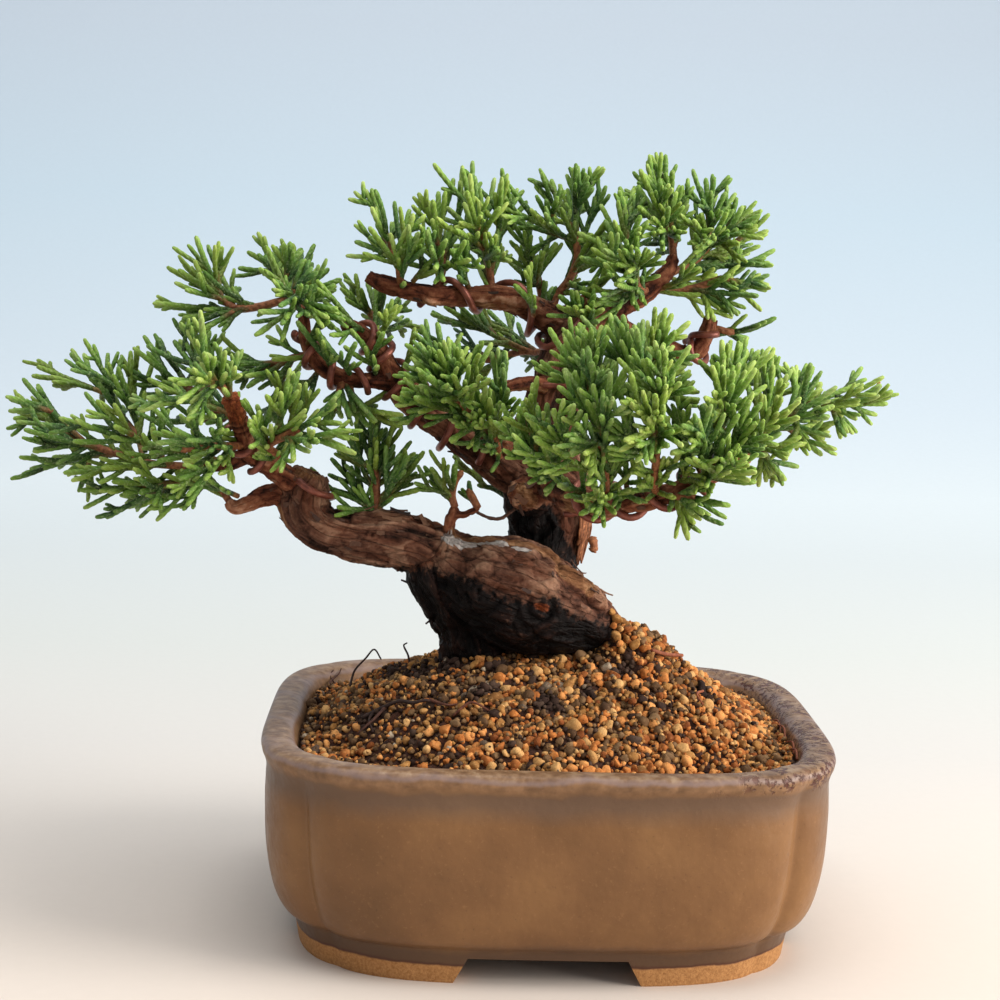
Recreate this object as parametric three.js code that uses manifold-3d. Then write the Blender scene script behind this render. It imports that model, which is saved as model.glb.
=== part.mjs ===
// A small juniper bonsai in a four-lobed glazed pot. Millimetres, +Z up.
//
// Every point below is measured from the middle of the pot's footprint, on the surface it
// stands on: +X to the right, +Y to the back. The last lines shift the whole group so that
// the origin lies under the middle of its bounding box.

import * as THREE from "three";
import { mergeVertices } from "three/addons/utils/BufferGeometryUtils.js";
import Module from "manifold-3d";

const wasm = await Module();
wasm.setup();

// ---------------------------------------------------------------- driving dimensions

const GAP = 0.3; // clearance between pieces that rest on each other

// The pot's plan is a squared oval with a groove at each corner, which makes four lobes.
const POT_SIDES = 40;
const GROOVE_ANGLE = THREE.MathUtils.degToRad(7);
// Each row: height, half width, half depth, squareness of the plan, and the depth of the
// groove as a share of the distance from the middle.
const POT_OUTSIDE = [
  [0, 52.2, 46, 3.5, 0.012],
  [6.5, 53.6, 47.4, 3.6, 0.02],
  [9.5, 55.9, 49.7, 3.8, 0.03],
  [14, 57.6, 51.4, 4, 0.033],
  [22, 58.8, 52.6, 4.2, 0.033],
  [31, 59.1, 52.9, 4.3, 0.03],
  [38, 58.9, 52.8, 4.3, 0.022],
  [41, 59.3, 53.2, 4.3, 0.012],
  [43.6, 60, 54, 4.3, 0.01],
  [45, 59, 53, 4.3, 0.01],
];
const POT_INSIDE = [
  [45, 54.4, 48.4, 4.3, 0.014],
  [43.6, 53.2, 47.2, 4.3, 0.02],
  [40, 52.4, 46.4, 4.3, 0.022],
  [18, 51, 45, 4.1, 0.022],
  [10.5, 47, 41, 3.7, 0.022],
];
const INNER_GROOVE = 0.022;
const FOOT_HEIGHT = 5.5;
const FOOT_GAP_BOTTOM = 19.1; // half width of the cut-out between two feet
const FOOT_GAP_TOP = 16;
const FOOT_GAP_LENGTH = 140; // longer than the pot
const RECESS_HALF_WIDTH = 44;
const RECESS_HALF_DEPTH = 38;
const FLOOR_TOP = 10.5;

const DRAIN_RADIUS = 5;
const DRAIN_X = 24;
const DRAIN_SIDES = 16;
const MESH_SIDE = 17;
const MESH_THICKNESS = 1;
const MESH_OPENING = 4;
const MESH_PITCH = 5.2;
const ANCHOR_RADIUS = 0.75;
const ANCHOR_LOW = 4.2; // the tie wire's run under the floor
const ANCHOR_TOP = 34;

const SOIL_EDGE = 42.2; // height of the soil at the rim
const SOIL_FOOT = [FLOOR_TOP + GAP, 47, 41, 3.7, INNER_GROOVE];
const SOIL_WALL = [18, 51, 45, 4.1, INNER_GROOVE];
const SOIL_RIM = [SOIL_EDGE, 52.4, 46.4, 4.3, INNER_GROOVE];
const MOUND_HALF_WIDTH = 51;
const MOUND_HALF_DEPTH = 45;
const SOIL_RISE = 17.1;
const SOIL_SHOULDER = 0.8; // below 1 the mound has a fuller shoulder
const SOIL_HUMP = { x: 19, y: -1, rise: 9.3, reach: 11 };
// Rings of clods from the rim inwards, as shares of the rim. The outer ones are the finer.
const FINE_RINGS = [0.945, 0.85, 0.755, 0.66, 0.56];
const COARSE_RINGS = [0.47, 0.38, 0.28, 0.17];
const CLOD_RELIEF = 1.3; // how far a clod stands up, and the hollow beside it lies down
const LEAST_CLOD = 0.35; // the smallest clod as a share of that

const WIRE_RADIUS = 0.75;
const WIRE_SIDES = 5;
const WIRE_STEPS = 7; // in each turn
const WIRE_CLEARANCE = 0.6; // from the limb, which is faceted and bends

const TWIGLET_RADIUS = 0.62;
const CORE_RADIUS = 1.05; // at the start of a spray's core
const CORE_TAPER = 0.5; // how much it loses to its end
const STRAIGHT_BELOW = 26; // a shoot shorter than this has no bend
const BEND = { ahead: 0.14, back: 0.08, sag: 0.05 }; // of its middle, as shares of its length
const SHORTEST_SHOOT = 6.6; // a shorter one is left to its neighbour
const SHOOT_JOINTS = [0.16, 0.26, 0.36, 0.46, 0.56]; // where one later shoot each may leave
const CORE_JOINT_STEP = 0.1; // as a share of the core
const TURN_COST = 1.25; // how much a shoot shuns a sharp turn as it leaves
const ORDER_COST = 0.3; // and a shoot that itself leaves another one
const TRIES = 8; // to bend a shoot clear of what it would cross
const FIRST_SWAY = 0.6; // how far the first try moves its tip
const MORE_SWAY = 0.4; // and how much farther each later one does

// Limbs of the tree, each a row of stations: x, y, z, radius.
const TRUNK = [
  [0.5, -2, 68, 6.5],
  [-0.5, 4, 73, 6.8],
  [-0.2, 8, 78.5, 7.8],
  [0.5, 10, 85, 9.5],
  [0, 10.6, 91, 9.7],
  [-1, 10, 96.5, 8.8],
  [-1.8, 9, 102.5, 7.4],
  [-0.7, 8, 109.5, 6.3],
  [0.8, 7, 116.2, 5.7],
  [1.8, 6, 122.2, 5.2],
  [3.7, 5.2, 127.3, 4.6],
  [7.4, 5, 130.8, 3.7],
  [11.4, 5, 132.8, 3],
  [16, 5, 135.2, 2.7],
  [20.4, 6, 137.9, 2.4],
  [24, 8, 141, 2],
  [25.6, 9.4, 144.6, 1.6],
];
const ROOT_STEM = [
  [-13, 3, 33, 9.5],
  [-14, 2, 44, 8.8],
  [-14.8, 1.5, 54, 8.3],
  [-15.2, 1, 60, 8],
  [-16.6, 0, 65, 7.7],
  [-19.8, -1, 70.5, 8.3],
  [-23.5, -2, 75.5, 8],
  [-26, -2, 79.5, 6.4],
];
const SWOLLEN_BASE = [
  [-25, -2, 80, 5.8],
  [-19, -3, 76.5, 9],
  [-11.6, -4, 73.2, 11.6],
  [-4, -5, 70.6, 11.8],
  [2.5, -6, 68.6, 10],
  [7.9, -6, 67.2, 7.6],
  [11.4, -6, 66.8, 5.8],
  [13.6, -6, 66.8, 3.6],
];
const LEFT_LIMB = [
  [-21, -2, 78, 6.8],
  [-30, -3, 81.8, 6.3],
  [-36.6, -4, 83, 5.8],
  [-43, -5, 83.8, 5.2],
  [-49, -6, 85.4, 5.2],
  [-52.6, -6, 89, 5.5],
  [-52.6, -6, 93.6, 5.2],
  [-51.2, -6, 97.4, 3.9],
];
const LEFT_TWIG = [
  [-54.5, -6, 92.8, 2.6],
  [-61.6, -7, 91.9, 2.3],
  [-65.1, -8, 90.2, 1.8],
  [-67.4, -8, 89.6, 1.4],
  [-68.6, -8, 91, 1.2],
];
const LEFT_RISER = [
  [-54.5, -8, 95, 2.6],
  [-60.5, -12, 99.4, 2.4],
  [-63.4, -16, 102, 2.3],
  [-64.3, -18, 104.5, 2.2],
  [-65.1, -21, 108.3, 2],
  [-66, -24, 112, 1.9],
  [-66.8, -26, 114.4, 1.9],
];
const LEFT_REACH = [
  [-63.1, -15, 101.6, 1.9],
  [-68.4, -12, 99.2, 1.6],
  [-73.4, -10, 98.1, 1.4],
  [-77.4, -10, 98.2, 1.2],
];
const BRANCH = [
  [-1, 9, 91, 5.6],
  [-4.6, 7.6, 95, 5.4],
  [-9.2, 6, 97.8, 5],
  [-15.5, 4, 102.2, 4.4],
  [-22.2, 2, 106.6, 4],
  [-27.6, 0, 110.4, 3.7],
  [-32.6, -2, 115, 3.2],
  [-35.9, -4, 119.6, 2.6],
  [-38, -4.6, 123.6, 2.2],
  [-41, -6, 126.6, 1.9],
  [-44.7, -8, 128.8, 1.7],
];
const BRANCH_FORK = [
  [-32.2, -2, 114.9, 2.2],
  [-37.7, -5, 116.9, 2],
  [-43.5, -8, 117.2, 1.8],
  [-48.1, -9, 119, 1.7],
  [-51.3, -9, 122.2, 1.6],
  [-52.9, -8, 126.3, 1.5],
  [-53.6, -8, 131.5, 1.3],
];
const TOP_BRANCH = [
  [4.4, 5.4, 127.6, 4],
  [-1.1, 6, 130.2, 3.6],
  [-6.7, 4, 133.2, 3],
  [-12.2, 2, 135, 2.6],
  [-18.6, 0, 135.2, 2.3],
  [-25, -2, 135.3, 2.4],
  [-31.4, -3, 136.1, 2.2],
  [-36.7, -4, 137.3, 2.1],
  [-40.6, -4, 139, 1.5],
];
const FRONT_BRANCH = [
  [-0.5, 5, 97.4, 4],
  [1.6, -5, 95, 3.7],
  [6.5, -14, 93.8, 3.2],
  [12.1, -22, 94.6, 2.7],
  [18.6, -28, 96.3, 2.3],
  [25.1, -32, 99.1, 2],
  [31.2, -31, 101.9, 1.7],
  [36.9, -27, 104.6, 1.4],
];
const BACK_BRANCH = [
  [9.3, 5, 131, 2.8],
  [18.8, 8, 127.3, 2.2],
  [28.6, 12, 123.8, 2],
  [32, 12, 124.2, 2],
  [33.6, 12, 127.6, 1.9],
  [34.9, 12, 131.6, 1.8],
];
const DEAD_TWIG = [
  [0, 5, 115.6, 2.2],
  [-5.3, 0.6, 117, 1.7],
  [-10.6, -1, 115.9, 1.4],
  [-15.8, -2, 114.2, 0.8],
];
// The burl and cut stub on the trunk, a low forked shoot and a stub under the crown.
const SPURS = [
  [[-1, 8, 91, 5.5], [-5.6, 0, 93, 3.8], [-7.4, -3, 93.8, 2.4]],
  [[-7.8, 7, 101.5, 3.6], [-11.2, -2.2, 106.6, 2.7]],
  [[-21.8, -4.4, 84, 1.4], [-21.5, -6, 88.1, 1.2], [-20.7, -6, 90.5, 1]],
  [[-21.5, -6, 88.8, 1], [-18.3, -6, 89.1, 0.9], [-15.8, -6, 90.4, 0.8]],
  [[13, 5, 133.4, 1.6], [15.2, 2.4, 129.2, 1.3]],
];

// Training wires: each winds round a row of stations between two shares of its length.
const WIRES = [
  { name: "wire_trunk_top", route: "top", from: 0.02, to: 0.78, turns: 4.2, start: 3 },
  { name: "wire_branch", route: "branch", from: 0.22, to: 0.92, turns: 5.6, start: 5.6 },
  { name: "wire_front", route: "front", from: 0.2, to: 0.82, turns: 4.25, start: 4.6 },
  { name: "wire_stub", route: "stub", from: 0.2, to: 0.72, turns: -0.42, start: 2.3 },
  { name: "wire_left", route: "left", from: 0.26, to: 0.62, turns: 1.8, start: 4.6 },
  { name: "wire_fork", route: "fork", from: 0.24, to: 0.86, turns: 3, start: 5.2 },
  { name: "wire_back", route: "back", from: 0.42, to: 0.86, turns: 1.5, start: 1 },
];
const WIRE_ROUTES = {
  top: [
    ...TRUNK.slice(7, 10),
    [2.9, 5.6, 125.6, 6],
    [0.2, 6, 129.4, 5.6],
    [-5.2, 4.6, 132.6, 3.8],
    ...TOP_BRANCH.slice(3),
  ],
  branch: BRANCH.slice(1),
  front: FRONT_BRANCH,
  stub: LEFT_LIMB.slice(5),
  left: LEFT_RISER,
  fork: BRANCH_FORK,
  back: BACK_BRANCH,
};

// Sprays of foliage. The core starts inside the limb that carries it and is the spray's own
// stem. Each tip is the end of one shoot, which leaves the core or another shoot.
const SPRAYS = {
  spray_left_long: {
    core: [[-77.4, -10, 98.2], [-85.2, -8, 98.4], [-93.7, -5, 100.2], [-101.8, -3, 102.4]],
    tips: [
      [-115, -6, 111], [-116, 6, 111], [-113, -2, 115], [-112, 8, 117], [-116, 3, 106],
      [-111, -10, 105], [-110, -6, 100], [-114, 2, 94], [-105, 9, 120], [-101, -6, 119],
      [-100, 12, 114], [-96, 4, 117], [-93, -2, 118], [-91, 8, 119], [-100, 4, 91],
      [-103, -9, 96], [-102, 9, 93], [-109, 10, 97], [-103, -14, 108], [-95, -16, 112],
      [-91, -18, 107], [-94, -15, 98], [-83, -20, 107], [-94, 14, 101],
    ],
  },
  spray_left_mid: {
    core: [
      [-65, -21.3, 109.3], [-67.6, -17.6, 110.3], [-69.6, -14, 108.9], [-73.4, -6, 111.5],
      [-78, 0, 113.9],
    ],
    tips: [
      [-92, 4, 116], [-87, 0, 121], [-84, 8, 121], [-81, -3, 124], [-80, 5, 124],
      [-79, 12, 124], [-74, 0, 123], [-88, 2, 112], [-86, -6, 116], [-84, 6, 106],
      [-80, -2, 108], [-73, 10, 124],
    ],
  },
  spray_left_front: {
    core: [[-66.8, -26, 114.4], [-67.9, -29.5, 116.6], [-69.1, -33, 117.8]],
    tips: [
      [-74, -36, 128], [-70, -32, 127], [-70, -42, 124], [-83, -36, 112], [-75, -42, 118],
      [-71, -44, 119], [-66, -40, 120], [-73, -42, 111],
    ],
  },
  spray_left_low: {
    core: [[-68.6, -8, 91], [-70.9, -8, 93.6], [-76.8, -8, 94.4], [-83.5, -8, 94]],
    tips: [
      [-95, -4, 86], [-85, -12, 89], [-84, 2, 86], [-95, -10, 91], [-90, 5, 87],
      [-98, 0, 92], [-100, -6, 92], [-92, -14, 95], [-71, -12, 90], [-86, -16, 93],
      [-78, -14, 90],
    ],
  },
  spray_left_under: {
    core: [
      [-64.3, -18, 103.9], [-67, -24, 104.1], [-69.3, -28, 104.6], [-72.3, -31, 104.8],
      [-75.3, -33, 104.1],
    ],
    tips: [
      [-80, -32, 106], [-82, -24, 107], [-78, -36, 101], [-75, -38, 99], [-73, -34, 98],
      [-70, -38, 99], [-82, -30, 103], [-76, -40, 109], [-69, -38, 109],
    ],
  },
  spray_left_right: {
    core: [
      [-59.6, -12.6, 100.2], [-57.7, -17, 101.8], [-59.2, -22, 104.2], [-55.7, -26, 106.7],
      [-52.4, -28, 108.6],
    ],
    tips: [
      [-44, -30, 110], [-46, -24, 107], [-48, -38, 107], [-53, -36, 103], [-43, -26, 104],
      [-54, -28, 119], [-53, -22, 117], [-56, -32, 116], [-45, -32, 114], [-61, -28, 113],
      [-62, -34, 110], [-48, -34, 113], [-53, -16, 113],
    ],
  },
  spray_second_top: {
    core: [
      [-53.6, -8, 131.5], [-56.7, -8, 133.4], [-62.3, -6, 132], [-67.5, -4, 131.2],
      [-70.7, -2, 132.7],
    ],
    tips: [
      [-80, -4, 139], [-80, 4, 140], [-77, 0, 146], [-78, -8, 135], [-83, 2, 131],
      [-79, -4, 129], [-74, -8, 127], [-73, 6, 143], [-71, -4, 144], [-68, 4, 143],
      [-67, 10, 143], [-63, -6, 141], [-62, 2, 143], [-62, 12, 143], [-58, -4, 145],
      [-57, 6, 145], [-55, 0, 144], [-53, -12, 142], [-53, 10, 141], [-49, 2, 140],
      [-46, -4, 138], [-46, -16, 132], [-47, -14, 128], [-62, -16, 140], [-57, -20, 129],
      [-53, -22, 137], [-52, 16, 134], [-69, 14, 135], [-62, -14, 127],
    ],
  },
  spray_second_low: {
    core: [[-51, -9, 121.8], [-53.8, -8, 121.9], [-57.5, -6, 120.6], [-61.5, -4, 119.5]],
    tips: [
      [-69, -2, 129], [-68, 4, 128], [-69, -8, 125], [-71, 2, 122], [-68, -6, 120],
      [-68, 2, 116], [-65, -8, 115], [-64, 0, 112], [-62, 4, 107], [-60, -6, 112],
      [-58, -14, 124], [-56, 2, 115],
    ],
  },
  spray_second_right: {
    core: [[-39.2, -5.2, 125.6], [-38.7, -1, 126.9], [-38.7, 4, 128.9], [-40.2, 8, 130.9]],
    tips: [
      [-46, 6, 136], [-44, 12, 136], [-42, 2, 136], [-39, 14, 134], [-37, 4, 135],
      [-34, 12, 134], [-29, 2, 133], [-24, 8, 131], [-25, -4, 127], [-28, 4, 123],
      [-39, -12, 131], [-32, 18, 129], [-34, -14, 126],
    ],
  },
  spray_second_under: {
    core: [[-44.8, -8.4, 117.4], [-45.6, -10, 114.7], [-45.8, -10, 112.2]],
    tips: [
      [-34, -4, 109], [-39, -12, 110], [-43, -14, 110], [-49, -12, 107], [-41, -18, 116],
      [-48, -4, 108], [-38, 2, 111],
    ],
  },
  spray_left_upright: {
    core: [[-37.5, -4, 86.5], [-37.4, -4, 91.3], [-37.7, -4, 95.6], [-38.2, -4, 98.2]],
    tips: [
      [-42, 0, 107], [-38, -6, 107], [-36, 4, 106], [-34, -2, 103], [-33, 8, 101],
      [-30, 0, 99], [-45, -10, 103], [-45, -14, 92], [-43, 6, 96], [-41, -12, 94],
      [-48, 2, 97], [-31, -10, 101], [-45, 4, 92],
    ],
  },
  spray_low_twig: {
    core: [[-20.7, -6, 90.5], [-21.4, -6, 93.1], [-20.8, -6, 96.3], [-19.4, -6, 98.1]],
    tips: [
      [-27, -4, 96], [-26, -8, 99], [-25, -2, 98], [-23, -8, 97], [-22, -4, 100],
      [-21, -10, 100], [-18, -6, 101], [-17, -4, 98], [-23, -2, 95],
    ],
  },
  spray_low_side: {
    core: [[-15.8, -6, 90.4], [-16.9, -6, 92.5], [-18, -5, 94.1]],
    tips: [[-15, -6, 96], [-18, -2, 97], [-16, -10, 93], [-14, -2, 93]],
  },
  spray_upper_left: {
    core: [[-33.3, -3.2, 136.4], [-33.5, -6, 138.9], [-34, -6, 142], [-35.3, -5, 144.5]],
    tips: [
      [-40, -2, 157], [-43, -6, 146], [-41, 2, 143], [-41, 4, 147], [-40, -10, 149],
      [-39, 4, 150], [-36, -4, 152], [-32, 2, 153], [-31, -8, 152], [-38, 10, 148],
      [-34, 8, 150], [-38, -12, 143], [-32, 4, 143], [-30, -14, 147],
    ],
  },
  spray_upper_mid: {
    core: [[-25, -2, 135.2], [-25.1, 0, 137.8], [-25.2, 0, 140.5], [-24.6, 0, 143.1]],
    tips: [
      [-28, 2, 155], [-27, -6, 155], [-26, 6, 157], [-27, -10, 151], [-24, -12, 147],
      [-21, 8, 153], [-23, 2, 150], [-29, 8, 147], [-32, -8, 145], [-30, -12, 142],
      [-19, -14, 143], [-20, 10, 158], [-27, -16, 145],
    ],
  },
  spray_upper_right: {
    core: [[-13.7, 1.6, 135], [-14.1, 4, 137.9], [-14.7, 4, 141.6], [-15.9, 4, 145]],
    tips: [
      [-21, 2, 162], [-20, -8, 157], [-17, 6, 158], [-14, -2, 157], [-11, 10, 160],
      [-11, 2, 158], [-11, 14, 155], [-13, -6, 154], [-22, -10, 149], [-9, 4, 143],
      [-18, -6, 153], [-19, 12, 150], [-13, 8, 151], [-17, -10, 152], [-13, -10, 145],
    ],
  },
  spray_top_left: {
    core: [[-1.6, 6.2, 130.4], [-2.5, 10, 133], [-2.9, 12, 135.7], [-3.9, 12, 139.9], [-5, 12, 144]],
    tips: [
      [-7, 10, 150], [-5, 18, 147], [-9, 8, 146], [-7, 4, 141], [-7, 18, 148], [-3, 4, 145],
    ],
  },
  spray_top_mid: {
    core: [[-0.6, 6, 130.2], [0.2, 8, 135.3], [3.1, 8, 139.5], [4.4, 8, 143.8], [4.1, 8, 148.6]],
    tips: [
      [3, 8, 163], [1, 2, 158], [6, 12, 162], [6, 4, 160], [9, 10, 159], [9, 14, 157],
      [9, 6, 152], [5, 16, 161], [-5, 10, 159], [-12, 4, 154], [-9, 14, 151], [-6, 0, 154],
      [1, 16, 156], [-3, 2, 156], [7, 0, 149], [12, 12, 149], [6, -2, 137], [10, 8, 137],
    ],
  },
  spray_top_low: {
    core: [[6.3, 4, 129.6], [5.8, -0.6, 130.6], [5.5, -2.4, 131.3], [5.6, -4, 133.9], [5, -5, 136]],
    tips: [
      [0, -8, 136], [2, -2, 138], [4, -10, 139], [7, -10, 135], [9, -4, 134], [3, -12, 134],
      [8, -12, 131],
    ],
  },
  spray_crown_left: {
    core: [
      [19.6, 5.6, 137.3], [18.6, 2, 137.5], [17.6, 0, 137.9], [15.4, -4, 140.5], [13.5, -6, 143.4],
    ],
    tips: [
      [13, -2, 157], [16, 6, 159], [13, -8, 151], [10, 4, 151], [11, -10, 149],
      [13, -14, 148], [9, -4, 147], [7, 4, 145], [5, -6, 144], [7, 2, 141], [7, -4, 138],
      [9, 2, 137], [7, -6, 134], [10, 0, 135], [11, -18, 143], [15, -20, 146],
      [11, -16, 139], [17, -18, 142], [14, 12, 146], [16, -12, 153],
    ],
  },
  spray_crown_mid: {
    core: [[25.6, 9.4, 144.6], [25.2, 10, 148.3], [24.6, 10, 151.3]],
    tips: [
      [19, 8, 165], [23, 14, 164], [24, 4, 163], [17, 12, 162], [19, 2, 161], [18, 18, 160],
      [19, -4, 158], [21, 0, 161], [27, 10, 160], [24, -6, 156], [20, -12, 150],
      [22, -10, 155], [29, 16, 158], [17, -8, 151], [21, 20, 156], [25, -8, 151],
      [25, 22, 149],
    ],
  },
  spray_crown_right: {
    core: [[23.2, 7.6, 140], [26.5, 10.4, 141.8], [29.2, 12, 142.8], [32, 14, 145], [33.6, 14, 147.3]],
    tips: [
      [31, 12, 160], [33, 18, 162], [33, 8, 159], [36, 22, 159], [37, 14, 159],
      [40, 18, 158], [40, 8, 156], [43, 20, 155], [44, 14, 154], [43, 6, 152],
      [47, 16, 151], [44, 22, 146], [47, 12, 144], [36, 2, 155], [34, -4, 148],
      [32, -8, 149], [30, 0, 154], [39, 4, 148], [36, 28, 152], [28, 0, 148],
    ],
  },
  spray_crown_low: {
    core: [[20.2, 6, 137.6], [25.6, 7.6, 137.4], [30.2, 8, 138.1], [34.1, 8, 139.5], [36.6, 8, 140.5]],
    tips: [
      [46, 8, 138], [43, 0, 137], [42, 14, 143], [39, 4, 137], [38, 10, 133], [30, 0, 142],
      [34, 14, 142], [25, 2, 141], [21, -6, 137], [28, -4, 133], [26, 2, 130], [24, 8, 132],
      [34, 14, 134], [42, 16, 140], [30, -6, 138],
    ],
  },
  spray_back_right: {
    core: [[33.7, 12, 128], [35.8, 12, 129.2], [38, 12, 128.7], [40, 12, 128.6]],
    tips: [[49, 12, 132], [37, 8, 126], [39, 18, 129], [38, 4, 130], [44, 20, 127]],
  },
  spray_rear: {
    core: [
      [1.4, 7, 123.2], [-0.6, 15, 122.8], [-2.7, 22, 122.4], [-6.7, 25, 122.2], [-11.1, 28, 120.5],
      [-14.7, 30, 119.8],
    ],
    tips: [
      [-27, 30, 130], [-24, 24, 132], [-20, 34, 130], [-16, 28, 131], [-14, 36, 131],
      [-11, 30, 129], [-10, 24, 125], [-6, 34, 121], [-8, 26, 128], [-21, 38, 125],
      [-25, 30, 124], [-20, 26, 123], [-12, 38, 124], [-30, 34, 126],
    ],
  },
  spray_front_mid: {
    core: [
      [-11, 5.4, 98.9], [-11.8, -3, 102.6], [-12.9, -10, 106.3], [-16.9, -16, 110.1],
      [-20.3, -20, 114.1],
    ],
    tips: [
      [-32, -18, 121], [-29, -22, 126], [-26, -14, 126], [-25, -28, 125], [-22, -20, 126],
      [-19, -14, 125], [-17, -26, 124], [-11, -18, 123], [-32, -26, 117], [-31, -22, 112],
      [-9, -18, 115], [-14, -26, 111], [-28, -20, 109], [-19, -32, 118], [-24, -32, 116],
      [-12, -10, 117], [-27, -34, 120], [-21, -28, 110], [-16, -10, 115], [-12, -24, 113],
    ],
  },
  spray_front_left: {
    core: [[8.7, -18.4, 93.2], [8.4, -27, 95.6], [9.1, -34, 98.9], [8, -40, 104.4], [6.4, -44, 109.4]],
    tips: [
      [-10, -46, 106], [-9, -40, 112], [-5, -36, 123], [-7, -46, 118], [-6, -54, 110],
      [1, -34, 127], [2, -42, 129], [6, -30, 128], [-2, -50, 120], [-3, -54, 116],
      [3, -56, 118], [6, -46, 128], [-1, -36, 111], [-3, -50, 104], [4, -54, 125],
      [-7, -42, 103], [0, -60, 111], [6, -60, 118], [9, -42, 121], [4, -58, 106],
      [7, -48, 98],
    ],
  },
  spray_front_centre: {
    core: [[20.2, -27.8, 97.2], [18.2, -38, 100.4], [17.8, -44, 106.2], [16.7, -48, 112.1]],
    tips: [
      [9, -38, 133], [10, -44, 132], [12, -50, 132], [16, -40, 133], [15, -52, 131],
      [20, -42, 134], [20, -48, 131], [13, -58, 126], [11, -34, 127], [17, -58, 125],
      [23, -46, 127], [10, -62, 119], [15, -64, 120], [20, -60, 122], [13, -62, 113],
      [8, -52, 114], [19, -32, 129], [25, -34, 122], [13, -36, 121], [19, -60, 113],
      [15, -60, 108], [26, -40, 117], [17, -60, 128],
    ],
  },
  spray_front_right: {
    core: [[27.4, -31.8, 100], [29.1, -36.4, 102.1], [30, -40, 106.5], [29.9, -42, 110.7]],
    tips: [
      [34, -36, 128], [30, -44, 127], [31, -52, 124], [27, -54, 120], [24, -56, 115],
      [33, -46, 118], [32, -52, 109], [34, -44, 103], [33, -42, 100], [29, -34, 125],
      [23, -54, 111], [29, -54, 106], [37, -30, 120], [26, -50, 108], [36, -50, 114],
      [32, -28, 114], [37, -28, 126],
    ],
  },
  spray_front_low: {
    core: [[22.6, -30.4, 97.4], [24, -34.4, 97.6], [27, -35.6, 97.6]],
    tips: [
      [20, -30, 91], [23, -34, 90], [27, -30, 92], [14, -36, 93], [34, -34, 96],
      [21, -42, 99], [28, -40, 95], [32, -40, 97],
    ],
  },
  spray_far_right: {
    core: [[36.9, -27, 104.6], [41.4, -24, 108.8], [46.1, -22, 112.4], [50.8, -20, 115.7]],
    tips: [
      [66, -20, 120], [68, -18, 116], [61, -24, 117], [63, -14, 120], [57, -18, 120],
      [53, -14, 123], [52, -26, 122], [48, -18, 123], [43, -22, 125], [41, -14, 124],
      [42, -30, 124], [61, -22, 113], [59, -16, 112], [55, -28, 116], [58, -22, 109],
      [55, -18, 105], [57, -12, 110], [50, -26, 107], [48, -20, 104], [45, -30, 105],
      [47, -22, 100], [44, -16, 99], [39, -34, 117], [43, -36, 118], [47, -34, 114],
      [43, -8, 121], [39, -12, 114], [49, -8, 119], [55, -10, 116],
    ],
  },
};

const COLOURS = {
  glaze: 0x7d6248,
  soil: 0xb07a4a,
  bark: 0x6e4a38,
  copper: 0x9a5a40,
  galvanised: 0x8f9296,
  mesh: 0x2c2f33,
  foliage: 0x4f7a35,
};

// ---------------------------------------------------------------- small helpers

function vector([x, y, z]) {
  return new THREE.Vector3(x, y, z);
}

// Repeatable random numbers from 0 to 1.
function seededRandom(seed) {
  let state = seed >>> 0;
  return () => {
    state = (state + 0x6d2b79f5) >>> 0;
    let mixed = Math.imul(state ^ (state >>> 15), state | 1);
    mixed ^= mixed + Math.imul(mixed ^ (mixed >>> 7), mixed | 61);
    return ((mixed ^ (mixed >>> 14)) >>> 0) / 4294967296;
  };
}

function solidOf(geometry) {
  const bare = geometry.clone();
  bare.deleteAttribute("normal");
  bare.deleteAttribute("uv");
  const merged = mergeVertices(bare, 1e-4);
  return new wasm.Manifold(
    new wasm.Mesh({
      numProp: 3,
      vertProperties: merged.attributes.position.array,
      triVerts: new Uint32Array(merged.index.array),
    }),
  );
}

function geometryOf(solid) {
  const mesh = solid.getMesh();
  const geometry = new THREE.BufferGeometry();
  geometry.setAttribute("position", new THREE.BufferAttribute(mesh.vertProperties, 3));
  geometry.setIndex(new THREE.BufferAttribute(mesh.triVerts, 1));
  const flat = geometry.toNonIndexed();
  flat.computeVertexNormals();
  return flat;
}

// Joins solids pair by pair, so that the sizes stay even.
function join(solids) {
  let queue = solids;
  while (queue.length > 1) {
    const next = [];
    for (let i = 0; i < queue.length; i += 2) {
      next.push(i + 1 < queue.length ? queue[i].add(queue[i + 1]) : queue[i]);
    }
    queue = next;
  }
  return queue[0];
}

function largestBody(solid) {
  const bodies = solid.decompose();
  return bodies.reduce((a, b) => (a.volume() > b.volume() ? a : b));
}

function namedMesh(name, solid, colour, roughness, metalness = 0) {
  const material = new THREE.MeshStandardMaterial({ color: colour, roughness, metalness });
  const mesh = new THREE.Mesh(geometryOf(solid), material);
  mesh.name = name;
  return mesh;
}

// Triangles between two rings of points. One ring may have twice as many as the other.
function stripTriangles(lower, upper) {
  const triangles = [];
  const at = (ring, k) => ring.start + (k % ring.count);
  for (let k = 0; k < Math.min(lower.count, upper.count); k += 1) {
    if (lower.count === upper.count) {
      triangles.push(at(lower, k), at(lower, k + 1), at(upper, k + 1));
      triangles.push(at(lower, k), at(upper, k + 1), at(upper, k));
    } else if (lower.count < upper.count) {
      triangles.push(at(lower, k), at(lower, k + 1), at(upper, 2 * k + 1));
      triangles.push(at(lower, k), at(upper, 2 * k + 1), at(upper, 2 * k));
      triangles.push(at(lower, k + 1), at(upper, 2 * k + 2), at(upper, 2 * k + 1));
    } else {
      triangles.push(at(lower, 2 * k), at(lower, 2 * k + 1), at(upper, k));
      triangles.push(at(lower, 2 * k + 1), at(lower, 2 * k + 2), at(upper, k + 1));
      triangles.push(at(lower, 2 * k + 1), at(upper, k + 1), at(upper, k));
    }
  }
  return triangles;
}

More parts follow.
